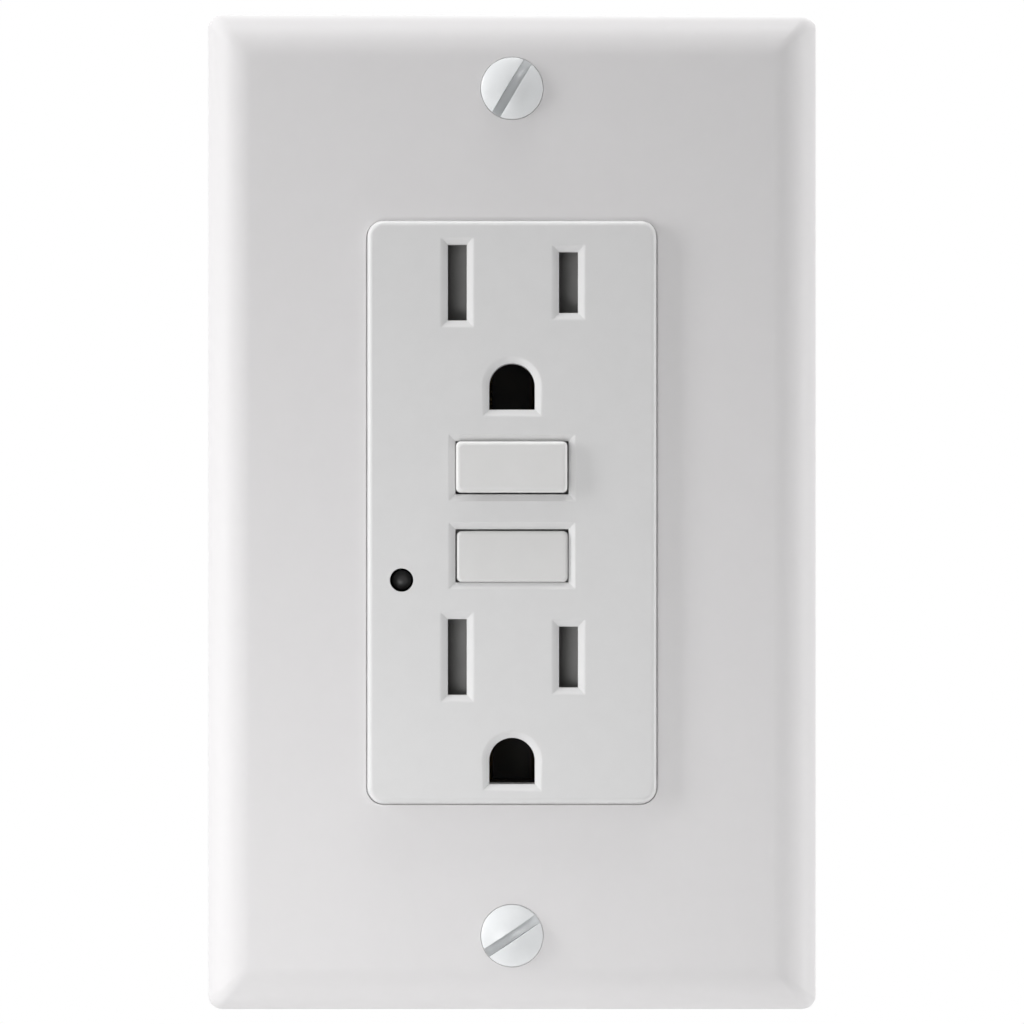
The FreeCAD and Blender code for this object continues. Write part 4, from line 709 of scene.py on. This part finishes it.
def oval_head(sink):
    """Profile of the dome, its rim and the cone that sinks into the plate."""
    rim = plate_front - head_lift
    profile = dome(head_radius - head_edge_round, head_crown - head_lift, plate_front - head_crown, steps=12)
    profile += [(head_radius - 0.03, rim + 0.06), (head_radius, rim + 0.14), (head_radius, plate_front)]
    return profile + [(shank_radius, plate_front + sink), (shank_radius, plate_front + sink + neck_end)]


def make_plate_screw(name, z, turn):
    sink = (head_radius - shank_radius) / sink_slope
    head = turned("head", oval_head(sink), 0, z)
    cut(head, [saw_cutter(saw_radius, saw_width, plate_front - head_crown + saw_depth, z, turn)])
    soften(head, head_softness, segments=3)
    settle(head)
    thread = make_thread(plate_thread_radius, thread_pitch, plate_front + sink + thread_start,
                         plate_screw_end, z)
    screw = join_meshes(name, [head, thread])
    soften(screw, 0.0)
    dress(screw, screw_paint, "receptacle", ["plate_screws"])


make_plate_screw("plate_screw_upper", plate_screw_z, upper_turn)
make_plate_screw("plate_screw_lower", -plate_screw_z, lower_turn)

# %% [markdown]
# Face of the receptacle
#
# The face stands a little proud of the plate, so its round rim draws a bright line towards the light and
# throws a soft shadow on the other side. Every hole has a bevelled mouth that leads a blade or a finger in.
# A bevel modifier would give all holes the same mouth, but the slots have wider ones than the buttons. So
# each is a loft between a wide outline at the face and a narrow one behind it, and is cut out.

# %% Face: outline and holes
face_width = 33.0
face_height = 66.5
face_corner = 1.8
face_round = 0.65
groove_depth = 0.22
groove_play = 0.03
blade_x = 6.35
blade_shift = 0.1
slot_width = 2.15
neutral_slot = 8.65
hot_slot = 6.95
slot_bevel = 0.95
ground_width = 5.2
ground_tall = 5.3
ground_bevel = 0.95
ground_drop = 11.87
button_width = 12.8
button_height = 5.95
button_gap = 0.05
button_bevel = 0.86
upper_blade = 26.2
lower_blade = middle_z("lower_shutter")
reset_line = middle_z("reset_shaft")
test_line = middle_z("test_button")
upper_ground = upper_blade - ground_drop
lower_ground = lower_blade - ground_drop
lens_low, lens_high = corners("indicator_lens")
lamp_x = (lens_low.x + lens_high.x) / 2
lamp_z = (lens_low.z + lens_high.z) / 2
lamp_hole = 1.34
print("levels of the slots", upper_blade, lower_blade, "buttons", reset_line, test_line)

# %% Face: mouths
mouth_slope = math.radians(29)
mouth_round = 0.65
button_mouth_round = 0.3
collar_end = face_front + 2.5


def mouth_levels(bevel, lip, end):
    """Levels of a mouth and how far it is wider there: round lip at the face, chamfer, then straight in."""
    levels = [(face_front - 0.5, bevel), (face_front, bevel)]
    for k in range(1, 6):
        angle = mouth_slope * k / 5
        levels.append((face_front + lip * (1 - math.cos(angle)), bevel - lip * math.sin(angle)))
    y, grow = levels[-1]
    return levels + [(y + grow * math.tan(mouth_slope), 0), (end, 0)]


def mouth(x, z, width, height, bevel, lip):
    """Cutter for a rectangular hole with its mouth."""
    rings = [ring(width + 2 * grow, height + 2 * grow, 0.05 + grow * 0.1, y, x, z, 2)
             for y, grow in mouth_levels(bevel, lip, collar_end + 2)]
    return from_rings("mouth", rings)


def ground_ring(grow, y, z, steps=24):
    """Outline of a ground hole: flat below and half round above."""
    radius = ground_width / 2 + grow
    middle = z + ground_tall / 2 - ground_width / 2
    bottom = z - ground_tall / 2 - grow
    points = [(-radius, y, bottom), (radius, y, bottom)]
    for k in range(steps + 1):
        angle = math.pi * k / steps
        points.append((radius * math.cos(angle), y, middle + radius * math.sin(angle)))
    return points


def ground_mouth(z):
    levels = mouth_levels(ground_bevel, mouth_round, strap_front + 1)
    return from_rings("mouth", [ground_ring(grow, y, z) for y, grow in levels])


def face_mouths():
    """Cutters for the button wells, the ground holes, the blade slots and the lamp."""
    mouths = [mouth(0, z, button_width + 2 * button_gap, button_height + 2 * button_gap, button_bevel,
                    button_mouth_round) for z in (reset_line, test_line)]
    mouths += [ground_mouth(z) for z in (upper_ground, lower_ground)]
    for z in (upper_blade, lower_blade):
        for x, height in ((blade_x, hot_slot), (-blade_x, neutral_slot)):
            mouths.append(mouth(x + blade_shift, z, slot_width, height, slot_bevel, mouth_round))
    lamp_bore = [(lamp_hole, face_front - 1), (lamp_hole, collar_end + 1)]
    mouths.append(turned("lamp bore", lamp_bore, lamp_x, lamp_z, 48))
    return mouths


# %% Face: moulding
face_steps = 10
face_root = 0.7
flange_gap = 0.2
flange_edge = 0.3
flange_corner = 2.5
flange_back = 3.0
cover_wall = 1.4
face_wall = 1.8
side_wall = 1.5
strap_room = 4.0
neck_half = 14.25
neck_low = 32.35
neck_high = 35.75
collar_wall = 0.9
inner_face = face_front + face_wall
guide_half_x = 3.5
guide_half_z = 3.55
post_half = 2.5
post_x = 17.0
post_z = 30.4


def face_block():
    """Raised face: round edge, straight side, and the swell that fills the plate's opening."""
    rings = []
    for inset, depth in rounded_edge(face_round, 8):
        rings.append(ring(face_width - 2 * inset, face_height - 2 * inset, face_corner - inset,
                          face_front + depth, steps=face_steps))
    groove = plate_front + groove_depth / 2
    rings.append(ring(face_width, face_height, face_corner, groove, steps=face_steps))
    for depth in (groove_depth, plate_wall + face_root):
        rings.append(ring(opening_width - 2 * groove_play, opening_height - 2 * groove_play, opening_corner,
                          plate_front + depth, opening_x, opening_z, face_steps))
    return from_rings("face_moulding", rings)


def flange_block():
    """Wide rim of the cover behind the plate."""
    front = plate_inside + flange_gap
    levels = ((flange_edge, front), (0, front + flange_edge), (0, flange_back))
    return from_rings("flange", [ring(2 * (cover_high.x - inset), 2 * (cover_high.z - inset),
                                      flange_corner - inset, y) for inset, y in levels])


def inner_rooms():
    """Cutters for the hollow behind the face, the seat of the strap and the gaps for the strap's necks."""
    rooms = [pillar(cover_high.x - cover_wall, cover_high.z - cover_wall, strap_front, strap_room),
             pillar(face_width / 2 - side_wall, face_height / 2 - side_wall, inner_face, strap_front + 1)]
    for low, high in ((neck_low, neck_high), (-neck_high, -neck_low)):
        rooms.append(block(-neck_half, neck_half, strap_front, strap_room, low, high))
    return rooms


def inner_walls():
    """Collars round the buttons, guides round the ground holes and the four posts."""
    root = inner_face - 0.5
    half_x = button_width / 2 + button_gap + collar_wall
    half_z = button_height / 2 + button_gap + collar_wall
    walls = [pillar(half_x, half_z, root, collar_end, 0, z) for z in (reset_line, test_line)]
    walls += [pillar(guide_half_x, guide_half_z, root, strap_front - 0.1, 0, z)
              for z in (upper_ground, lower_ground)]
    walls += [pillar(post_half, post_half, strap_front - 0.5, cover_high.y, sx * post_x, sz * post_z)
              for sx in (1, -1) for sz in (1, -1)]
    return walls


face_moulding = face_block()
cut(face_moulding, [flange_block()], "UNION")
cut(face_moulding, inner_rooms())
cut(face_moulding, inner_walls(), "UNION")
cut(face_moulding, face_mouths())
soften(face_moulding, width=0.09)
dress(face_moulding, face_white, "receptacle", ["front_cover"])

# %% [markdown]
# Buttons
#
# Both buttons are hollow caps with a lip that stops them behind the face. Only the front shows, so what
# makes them real is the round of their edges and the thin dark gap round them. The reset button stands proud
# of the face and the test button lies level with it. A bevelled cube would do for each, but as a stack of
# rings the corners and the front edge get their own rounds. Each sits a little off the middle of its well,
# as a loose button does, and their fronts stay plain.

# %% Caps
button_lip = 0.6
lip_thickness = 0.9
button_skin = 1.2
cap_corner = 0.55
cap_play = 0.08


def make_cap(name, x, z, trim, front, lip_front, edge):
    """Hollow cap with rounded front edges and a lip behind."""
    width = button_width - 2 * trim
    height = button_height - 2 * trim
    lip_width = width + 2 * button_lip
    lip_height = height + 2 * button_lip
    back = lip_front + lip_thickness
    rings = [ring(width - 2 * edge, height - 2 * edge, cap_corner * 0.5, front, x, z)]
    for inset, depth in rounded_edge(edge, 6, first=1):
        rings.append(ring(width - 2 * inset, height - 2 * inset, cap_corner, front + depth, x, z))
    rings.append(ring(width, height, cap_corner, lip_front, x, z))
    rings.append(ring(lip_width, lip_height, cap_corner, lip_front, x, z))
    rings.append(ring(lip_width, lip_height, cap_corner, back, x, z))
    cap = from_rings(name, rings)
    hollow = pillar(width / 2 - button_skin, height / 2 - button_skin, front + button_skin, back + 1, x, z)
    cut(cap, [hollow])
    return cap


# %% Reset button with the socket for its shaft
reset_low, reset_high = corners("reset_button")
socket_half = 2.7
bore_radius = 1.65
bore_level = corners("reset_shaft")[0].y - 0.05
reset_cap = make_cap("reset_cap", x=-0.04, z=reset_line + cap_play, trim=0.05, front=reset_low.y,
                     lip_front=collar_end + 1.0, edge=0.5)
cut(reset_cap, [pillar(socket_half, socket_half, reset_low.y + 1.0, reset_high.y, 0, reset_line)], "UNION")
cut(reset_cap, [turned("bore", [(bore_radius, bore_level), (bore_radius, 0)], 0, reset_line, 32)])
soften(reset_cap, width=0.05)
dress(reset_cap, button_white, "reset", ["reset_button"])

# %% Test button with its stem
test_low, test_high = corners("test_button")
stem_half_x = 1.4
stem_half_z = 1.2
test_cap = make_cap("test_cap", x=0.04, z=test_line - cap_play, trim=0.06, front=test_low.y,
                    lip_front=collar_end + 0.1, edge=0.35)
cut(test_cap, [pillar(stem_half_x, stem_half_z, test_low.y + 1.0, test_high.y, 0, test_line)], "UNION")
soften(test_cap, width=0.05)
dress(test_cap, button_white, "test", ["test_button"])

# %% [markdown]
# Indicator
#
# A rod of smoked plastic ends in a low dome inside a round hole. It shows as a dark spot with a faint grey
# sheen, because the dome mirrors the pale room over most of its width. A flat end would mirror only one
# direction and look like a black hole, so the dome is turned from an arc.

# %% Indicator lens
lens_radius = (lens_high.x - lens_low.x) / 2
lens_crown = 0.45
lens_profile = dome(lens_radius, lens_crown, lens_low.y, steps=10) + [(lens_radius, lens_high.y)]
lens_rod = turned("lens_rod", lens_profile, lamp_x, lamp_z, 40)
soften(lens_rod, 0.0)
dress(lens_rod, lens_smoke, "receptacle", ["indicator_lens"])

# %% [markdown]
# Screws behind the plate
#
# Eleven more screws hold the device together and take its wires: two for the wall box, four at the back,
# four terminals and the green one for the ground wire. A plain cylinder would do as a head, but a turned
# profile has the low crown and round edge that catch the light, and a driver's slot or cross is cut into it.
# Each kind is made once along Y, and its copies are then turned and moved to their seats.

# %% Heads and places
chamfer = 0.12


def pan_head(radius, height, crown, edge, neck_radius, neck_length):
    """Profile from the middle of the crown round the edge to the seat at level 0 and down the neck."""
    flat = radius - edge
    profile = [(flat * k / 6, crown * (k / 6) ** 2 - height) for k in range(1, 7)]
    for k in range(1, 6):
        angle = math.radians(90 * k / 5)
        profile.append((flat + edge * math.sin(angle), crown - height + edge * (1 - math.cos(angle))))
    profile += [(radius, -chamfer), (radius - chamfer, 0)]
    return profile + [(neck_radius, 0), (neck_radius, neck_length)]


def drive(length, width, top, depth, turns):
    """Cutters for a slot, or for a cross where there are two turns."""
    return [place_cutter(pillar(length / 2, width / 2, top - 1, top + depth), 0, turn) for turn in turns]


def make_screws(name, head, cutters, softness, thread, seats, direction, look):
    """Screw of a head and a thread that starts inside its neck, and a copy of it on each seat."""
    material, slot, node = look
    cut(head, cutters)
    soften(head, softness)
    settle(head)
    screw = join_meshes(name, [head, make_thread(**thread)])
    turn = Vector((0, -1, 0)).rotation_difference(Vector(direction)).to_matrix().to_4x4()
    for number, seat in enumerate(seats, 1):
        piece = bpy.data.objects.new(f"{screw.name}_{number}", screw.data.copy())
        bpy.context.scene.collection.objects.link(piece)
        piece.data.transform(Matrix.Translation(Vector(seat) * MM) @ turn)
        soften(piece, 0.0)
        dress(piece, material, "receptacle", [node])
    bpy.data.objects.remove(screw)


# %% Box screws
box_low, box_high = corners("box_screws")
box_head_height = 1.7
box_head_radius = box_high.x
box_z = box_high.z - box_head_radius
box_seat = box_low.y + box_head_height
box_neck = 0.5 - box_seat
box_profile = pan_head(box_head_radius, box_head_height, crown=0.55, edge=0.5, neck_radius=1.4,
                       neck_length=box_neck)
make_screws("box_screw", turned("head", box_profile),
            drive(length=9.0, width=1.0, top=-box_head_height, depth=1.1, turns=[24.0]), softness=0.06,
            thread=dict(radius=1.75, pitch=thread_pitch, y0=box_neck - 0.1, y1=box_high.y - box_seat),
            seats=[(0, box_seat, z) for z in (box_z, -box_z)], direction=(0, -1, 0),
            look=(zinc, "zinc_steel", "box_screws"))

# %% Housing screws
housing_low, housing_high = corners("housing_screws")
housing_head_height = 2.0
housing_head_radius = 2.6
housing_neck = 18.0
housing_seat = housing_high.y - housing_head_height
housing_x = housing_high.x - housing_head_radius
housing_z = housing_high.z - housing_head_radius
housing_profile = pan_head(housing_head_radius, housing_head_height, crown=0.5, edge=0.5, neck_radius=1.2,
                           neck_length=housing_neck)
make_screws("housing_screw", turned("head", housing_profile, segments=48),
            drive(length=2.9, width=0.62, top=-housing_head_height, depth=1.3, turns=[45.0, 135.0]),
            softness=0.05,
            thread=dict(radius=1.4, pitch=1.0, y0=housing_neck - 0.5, y1=housing_seat - housing_low.y),
            seats=[(sx * housing_x, housing_seat, sz * housing_z) for sx in (1, -1) for sz in (1, -1)],
            direction=(0, 1, 0), look=(zinc, "zinc_steel", "housing_screws"))

# %% Terminal screws
terminal_low, terminal_high = corners("hot_terminal_screws")
terminal_head_height = 2.1
terminal_head_radius = 4.1
terminal_neck = 1.2
terminal_thread = 2.05
terminal_pitch = 0.9
terminal_seat = terminal_high.x - terminal_head_height
terminal_y = (terminal_low.y + terminal_high.y) / 2
terminal_z = terminal_high.z - terminal_head_radius
terminal_profile = pan_head(terminal_head_radius, terminal_head_height, crown=0.6, edge=0.6,
                            neck_radius=1.8, neck_length=terminal_neck)
for name, side, material, slot in (("hot", 1, brass, "brass"), ("neutral", -1, nickel, "silver_metal")):
    make_screws(name + "_terminal_screw", turned("head", terminal_profile),
                drive(length=9.0, width=1.2, top=-terminal_head_height, depth=1.1, turns=[side * 18.0]),
                softness=0.08,
                thread=dict(radius=terminal_thread, pitch=terminal_pitch, y0=terminal_neck - 0.2,
                            y1=terminal_seat - terminal_low.x),
                seats=[(side * terminal_seat, terminal_y, z) for z in (terminal_z, -terminal_z)],
                direction=(side, 0, 0), look=(material, slot, name + "_terminal_screws"))

# %% Ground screw
ground_low, ground_high = corners("ground_screw")
ground_y = (ground_low.y + ground_high.y) / 2
ground_z = (ground_low.z + ground_high.z) / 2
hex_across = 7.9
hex_height = 2.3
washer_height = 0.6
washer_radius = (ground_high.y - ground_low.y) / 2
ground_head_top = -washer_height - hex_height
ground_seat = ground_low.x - ground_head_top
hex_levels = ((0.0, 3.55), (0.05, 4.0), (0.23, 4.35), (0.35, 4.7), (hex_height + 0.1, 5.0))


def hex_ring(limit, y, sides=72):
    """Outline of a hexagon whose corners are turned down to a circle of radius limit."""
    points = []
    for k in range(sides):
        angle = 2 * math.pi * k / sides
        flat_distance = hex_across / 2 / math.cos((angle % math.radians(60)) - math.radians(30))
        radius = min(flat_distance, limit)
        points.append((radius * math.cos(angle), y, radius * math.sin(angle)))
    return points


ground_head = from_rings("head", [hex_ring(limit, ground_head_top + down) for down, limit in hex_levels])
washer = turned("washer", [(washer_radius - 0.25, -washer_height), (washer_radius, -washer_height + 0.2),
                           (washer_radius, 0), (1.8, 0), (1.8, 0.6)])
cut(ground_head, [washer], "UNION")
make_screws("ground_screw_green", ground_head,
            drive(length=12.0, width=1.1, top=ground_head_top, depth=1.1, turns=[-35.0]), softness=0.07,
            thread=dict(radius=terminal_thread, pitch=terminal_pitch, y0=0.5,
                        y1=ground_high.x - ground_seat),
            seats=[(ground_seat, ground_y, ground_z)], direction=(-1, 0, 0),
            look=(green_dye, "green_screw", "ground_screw"))

# %% [markdown]
# Springs
#
# Five springs are pressed by a piece that moves. A stiff spring would be cut through by that piece, and a
# simulated one would be no truer, since it only shortens along its axis. So each is a mesh of its own here,
# a copy of the frame's spring at its full length, listed with the joint and axis that press it.

# %% Springs, each listed with the joint and axis that press it
springs = (
    ("reset_spring", "reset_press", (0, 1, 0)),
    ("test_spring", "test_press", (0, 1, 0)),
    ("upper_shutter_spring", "upper_shutter_slide", (1, 0, 0)),
    ("lower_shutter_spring", "lower_shutter_slide", (1, 0, 0)),
    ("plunger_spring", "plunger_slide", (0, 0, 1)),
)


def make_spring(node):
    """Copy of a node's mesh with the spring's material, in place of the node; it keeps its full length."""
    piece = bpy.data.objects.new("pressed_" + node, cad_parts[node].data.copy())
    bpy.context.scene.collection.objects.link(piece)
    soften(piece, 0.0)
    dress(piece, spring_steel, "receptacle", [node])
    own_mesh(piece)


for node, joint, axis in springs:
    make_spring(node)

# %% [markdown]
# The rest of the frame
#
# The other solids already have their true shape. They keep it, and get a material and a soft edge through
# modifiers, which leave the frame's own mesh alone. Points that the import split along edges are welded
# first, or the bevel would find no edge to work on.

# %% Materials and soft edges for the carried-over solids
finishes = (
    (shutter_grey, 0.08, ["upper_shutter", "lower_shutter"]),
    (black_plastic, 0.08, ["reset_shaft", "shutter_trays", "contact_carriage", "solenoid_bobbin",
                           "coil_holder", "controller_chip", "capacitor", "diodes"]),
    (housing_black, 0.15, ["rear_housing"]),
    # near-black middle housing: painted shade seen through the face's holes
    (tub_black_painted_shade, 0.1, ["middle_housing"]),
    (zinc, 0.12, ["mounting_strap", "wire_clamps", "latch_plate", "plunger", "solenoid_frame"]),
    (nickel, 0.08, ["line_neutral_terminal", "fixed_contacts", "hot_arm_contact", "neutral_arm_contact"]),
    (brass, 0.08, ["ground_contacts", "load_hot_contact", "load_neutral_contact", "line_hot_terminal",
                   "hot_contact_arm", "neutral_contact_arm", "test_contact"]),
    (card, 0.0, ["screw_retainers"]),
    (coil_copper, 0.0, ["solenoid_winding"]),
    (ring_copper, 0.0, ["sense_coil", "neutral_coil"]),
    (board_green, 0.0, ["circuit_board"]),
    (blue_coat, 0.0, ["surge_absorber"]),
    (tan_coat, 0.0, ["test_resistor"]),
    (lamp_tint, 0.0, ["indicator_lamp"]),
)
import_weld = 1e-6
import_crease = 35.0


def finish_node(name, material, edge):
    """Puts a material on a node's own slots, and welds and bevels it through modifiers."""
    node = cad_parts[name]
    for material_slot in node.material_slots:
        material_slot.material = material
    weld = node.modifiers.new("weld", "WELD")
    weld.merge_threshold = import_weld
    if edge:
        bevel_edges(node, edge, 2, import_crease)
    node.modifiers.new("even normals", "WEIGHTED_NORMAL").keep_sharp = not edge


for material, edge, names in finishes:
    for name in names:
        finish_node(name, material, edge)
print("dressed", sum(len(names) for material, edge, names in finishes), "nodes")

# %% [markdown]
# Floor
#
# The floor is paper below the plate, which hangs free in the picture. White paper would throw too much light
# up at the plate, so it is grey for the lights, and has a glow that only the camera and mirroring surfaces
# see. The glow grows away from the middle, so that no line shows where the paper ends in the white room.

# %% Floor
floor_level = -0.2
floor_half = 1.5
floor_grey = (0.5, 0.5, 0.5, 1)
floor_roughness = 0.9
near_glow = 0.38
far_glow = 0.95
fade_start = 0.35
fade_end = 1.4


def seen_rays(tree):
    """1 for rays from the camera and for mirrored ones, 0 for the rest."""
    rays = add_node(tree, "LightPath")
    return rays, product(tree, rays.outputs["Is Camera Ray"], rays.outputs["Is Glossy Ray"], "MAXIMUM")


def floor_paper():
    material = bpy.data.materials.new("floor_paper")
    material.use_nodes = True
    tree = material.node_tree
    shader = tree.nodes["Principled BSDF"]
    shader.inputs["Base Color"].default_value = floor_grey
    shader.inputs["Roughness"].default_value = floor_roughness
    distance = add_node(tree, "VectorMath", operation="LENGTH")
    wire(tree, add_node(tree, "TexCoord").outputs["Object"], distance.inputs[0])
    paler = reach(tree, distance.outputs["Value"], fade_start, fade_end, near_glow, far_glow)
    glow = add_node(tree, "Emission")
    wire(tree, product(tree, seen_rays(tree)[1], paler), glow.inputs["Strength"])
    both = add_node(tree, "AddShader")
    wire(tree, shader.outputs[0], both.inputs[0])
    wire(tree, glow.outputs[0], both.inputs[1])
    wire(tree, both.outputs[0], tree.nodes["Material Output"].inputs["Surface"])
    return material


def make_floor():
    bm = bmesh.new()
    bmesh.ops.create_grid(bm, x_segments=1, y_segments=1, size=floor_half)
    floor = to_object(bm, "floor")
    floor.location = (0, 0, floor_level)
    floor.data.materials.append(floor_paper())
    return floor


print("floor", make_floor().dimensions)

# %% [markdown]
# Light and background
#
# The light is that of a plain studio. A tall narrow light far to the left grazes the plate at about 15
# degrees, so every edge shows and the face throws a short soft shadow to the right. A small weak one before
# the lower half makes that half paler. A long light high above serves the upper bevel, a small card below
# the lower one, a light at the right the right rim, and a large one behind the back. A picture of a room as
# the sky could do all this at once, but then no edge could be set by itself. So the sky is an even grey for
# the light that it gives, and white for the camera and for what mirrors it.


# %% Lights
def softbox(name, place, target, size, power):
    """Area light at a place in metres that points at a target."""
    light = bpy.data.lights.new(name, "AREA")
    light.shape = "RECTANGLE"
    light.size, light.size_y = size
    light.energy = power
    lamp = bpy.data.objects.new(name, light)
    lamp.location = place
    lamp.rotation_euler = (Vector(target) - Vector(place)).to_track_quat("-Z", "Y").to_euler()
    lamp.visible_camera = False
    bpy.context.scene.collection.objects.link(lamp)


middle = (0, 0, 0)
softbox("side_light", (-0.42, -0.111, 0.1), middle, size=(0.08, 0.35), power=1.14)
softbox("front_light", (-0.062, -0.16, -0.066), (-0.045, 0, -0.066), size=(0.1, 0.06), power=0.088)
softbox("top_light", (0.0, -0.135, 1.5), middle, size=(1.2, 0.24), power=14.0)
softbox("edge_light", (0.5, 0.0, -0.05), middle, size=(0.08, 0.4), power=1.2)
softbox("low_card", (0.0, -0.04, -0.14), (0, -0.004, -0.056), size=(0.16, 0.03), power=0.016)
softbox("back_light", (0.9, 2.4, 1.8), middle, size=(1.6, 1.6), power=42.0)
print("lights", len(bpy.data.lights))

# %% World
ambient = 0.326


def make_world():
    """White room for the camera and mirrors, and an even grey sky for the light."""
    world = bpy.data.worlds.new("studio")
    bpy.context.scene.world = world
    world.use_nodes = True
    tree = world.node_tree
    rays, seen = seen_rays(tree)
    seen = product(tree, seen, rays.outputs["Is Transmission Ray"], "MAXIMUM")
    background = tree.nodes["Background"]
    wire(tree, reach(tree, seen, 0.0, 1.0, ambient, 1.0), background.inputs["Strength"])
    background.inputs["Color"].default_value = (1, 1, 1, 1)


make_world()
print("world", bpy.context.scene.world.name)

scene = bpy.context.scene
scene.view_settings.view_transform = "Standard"
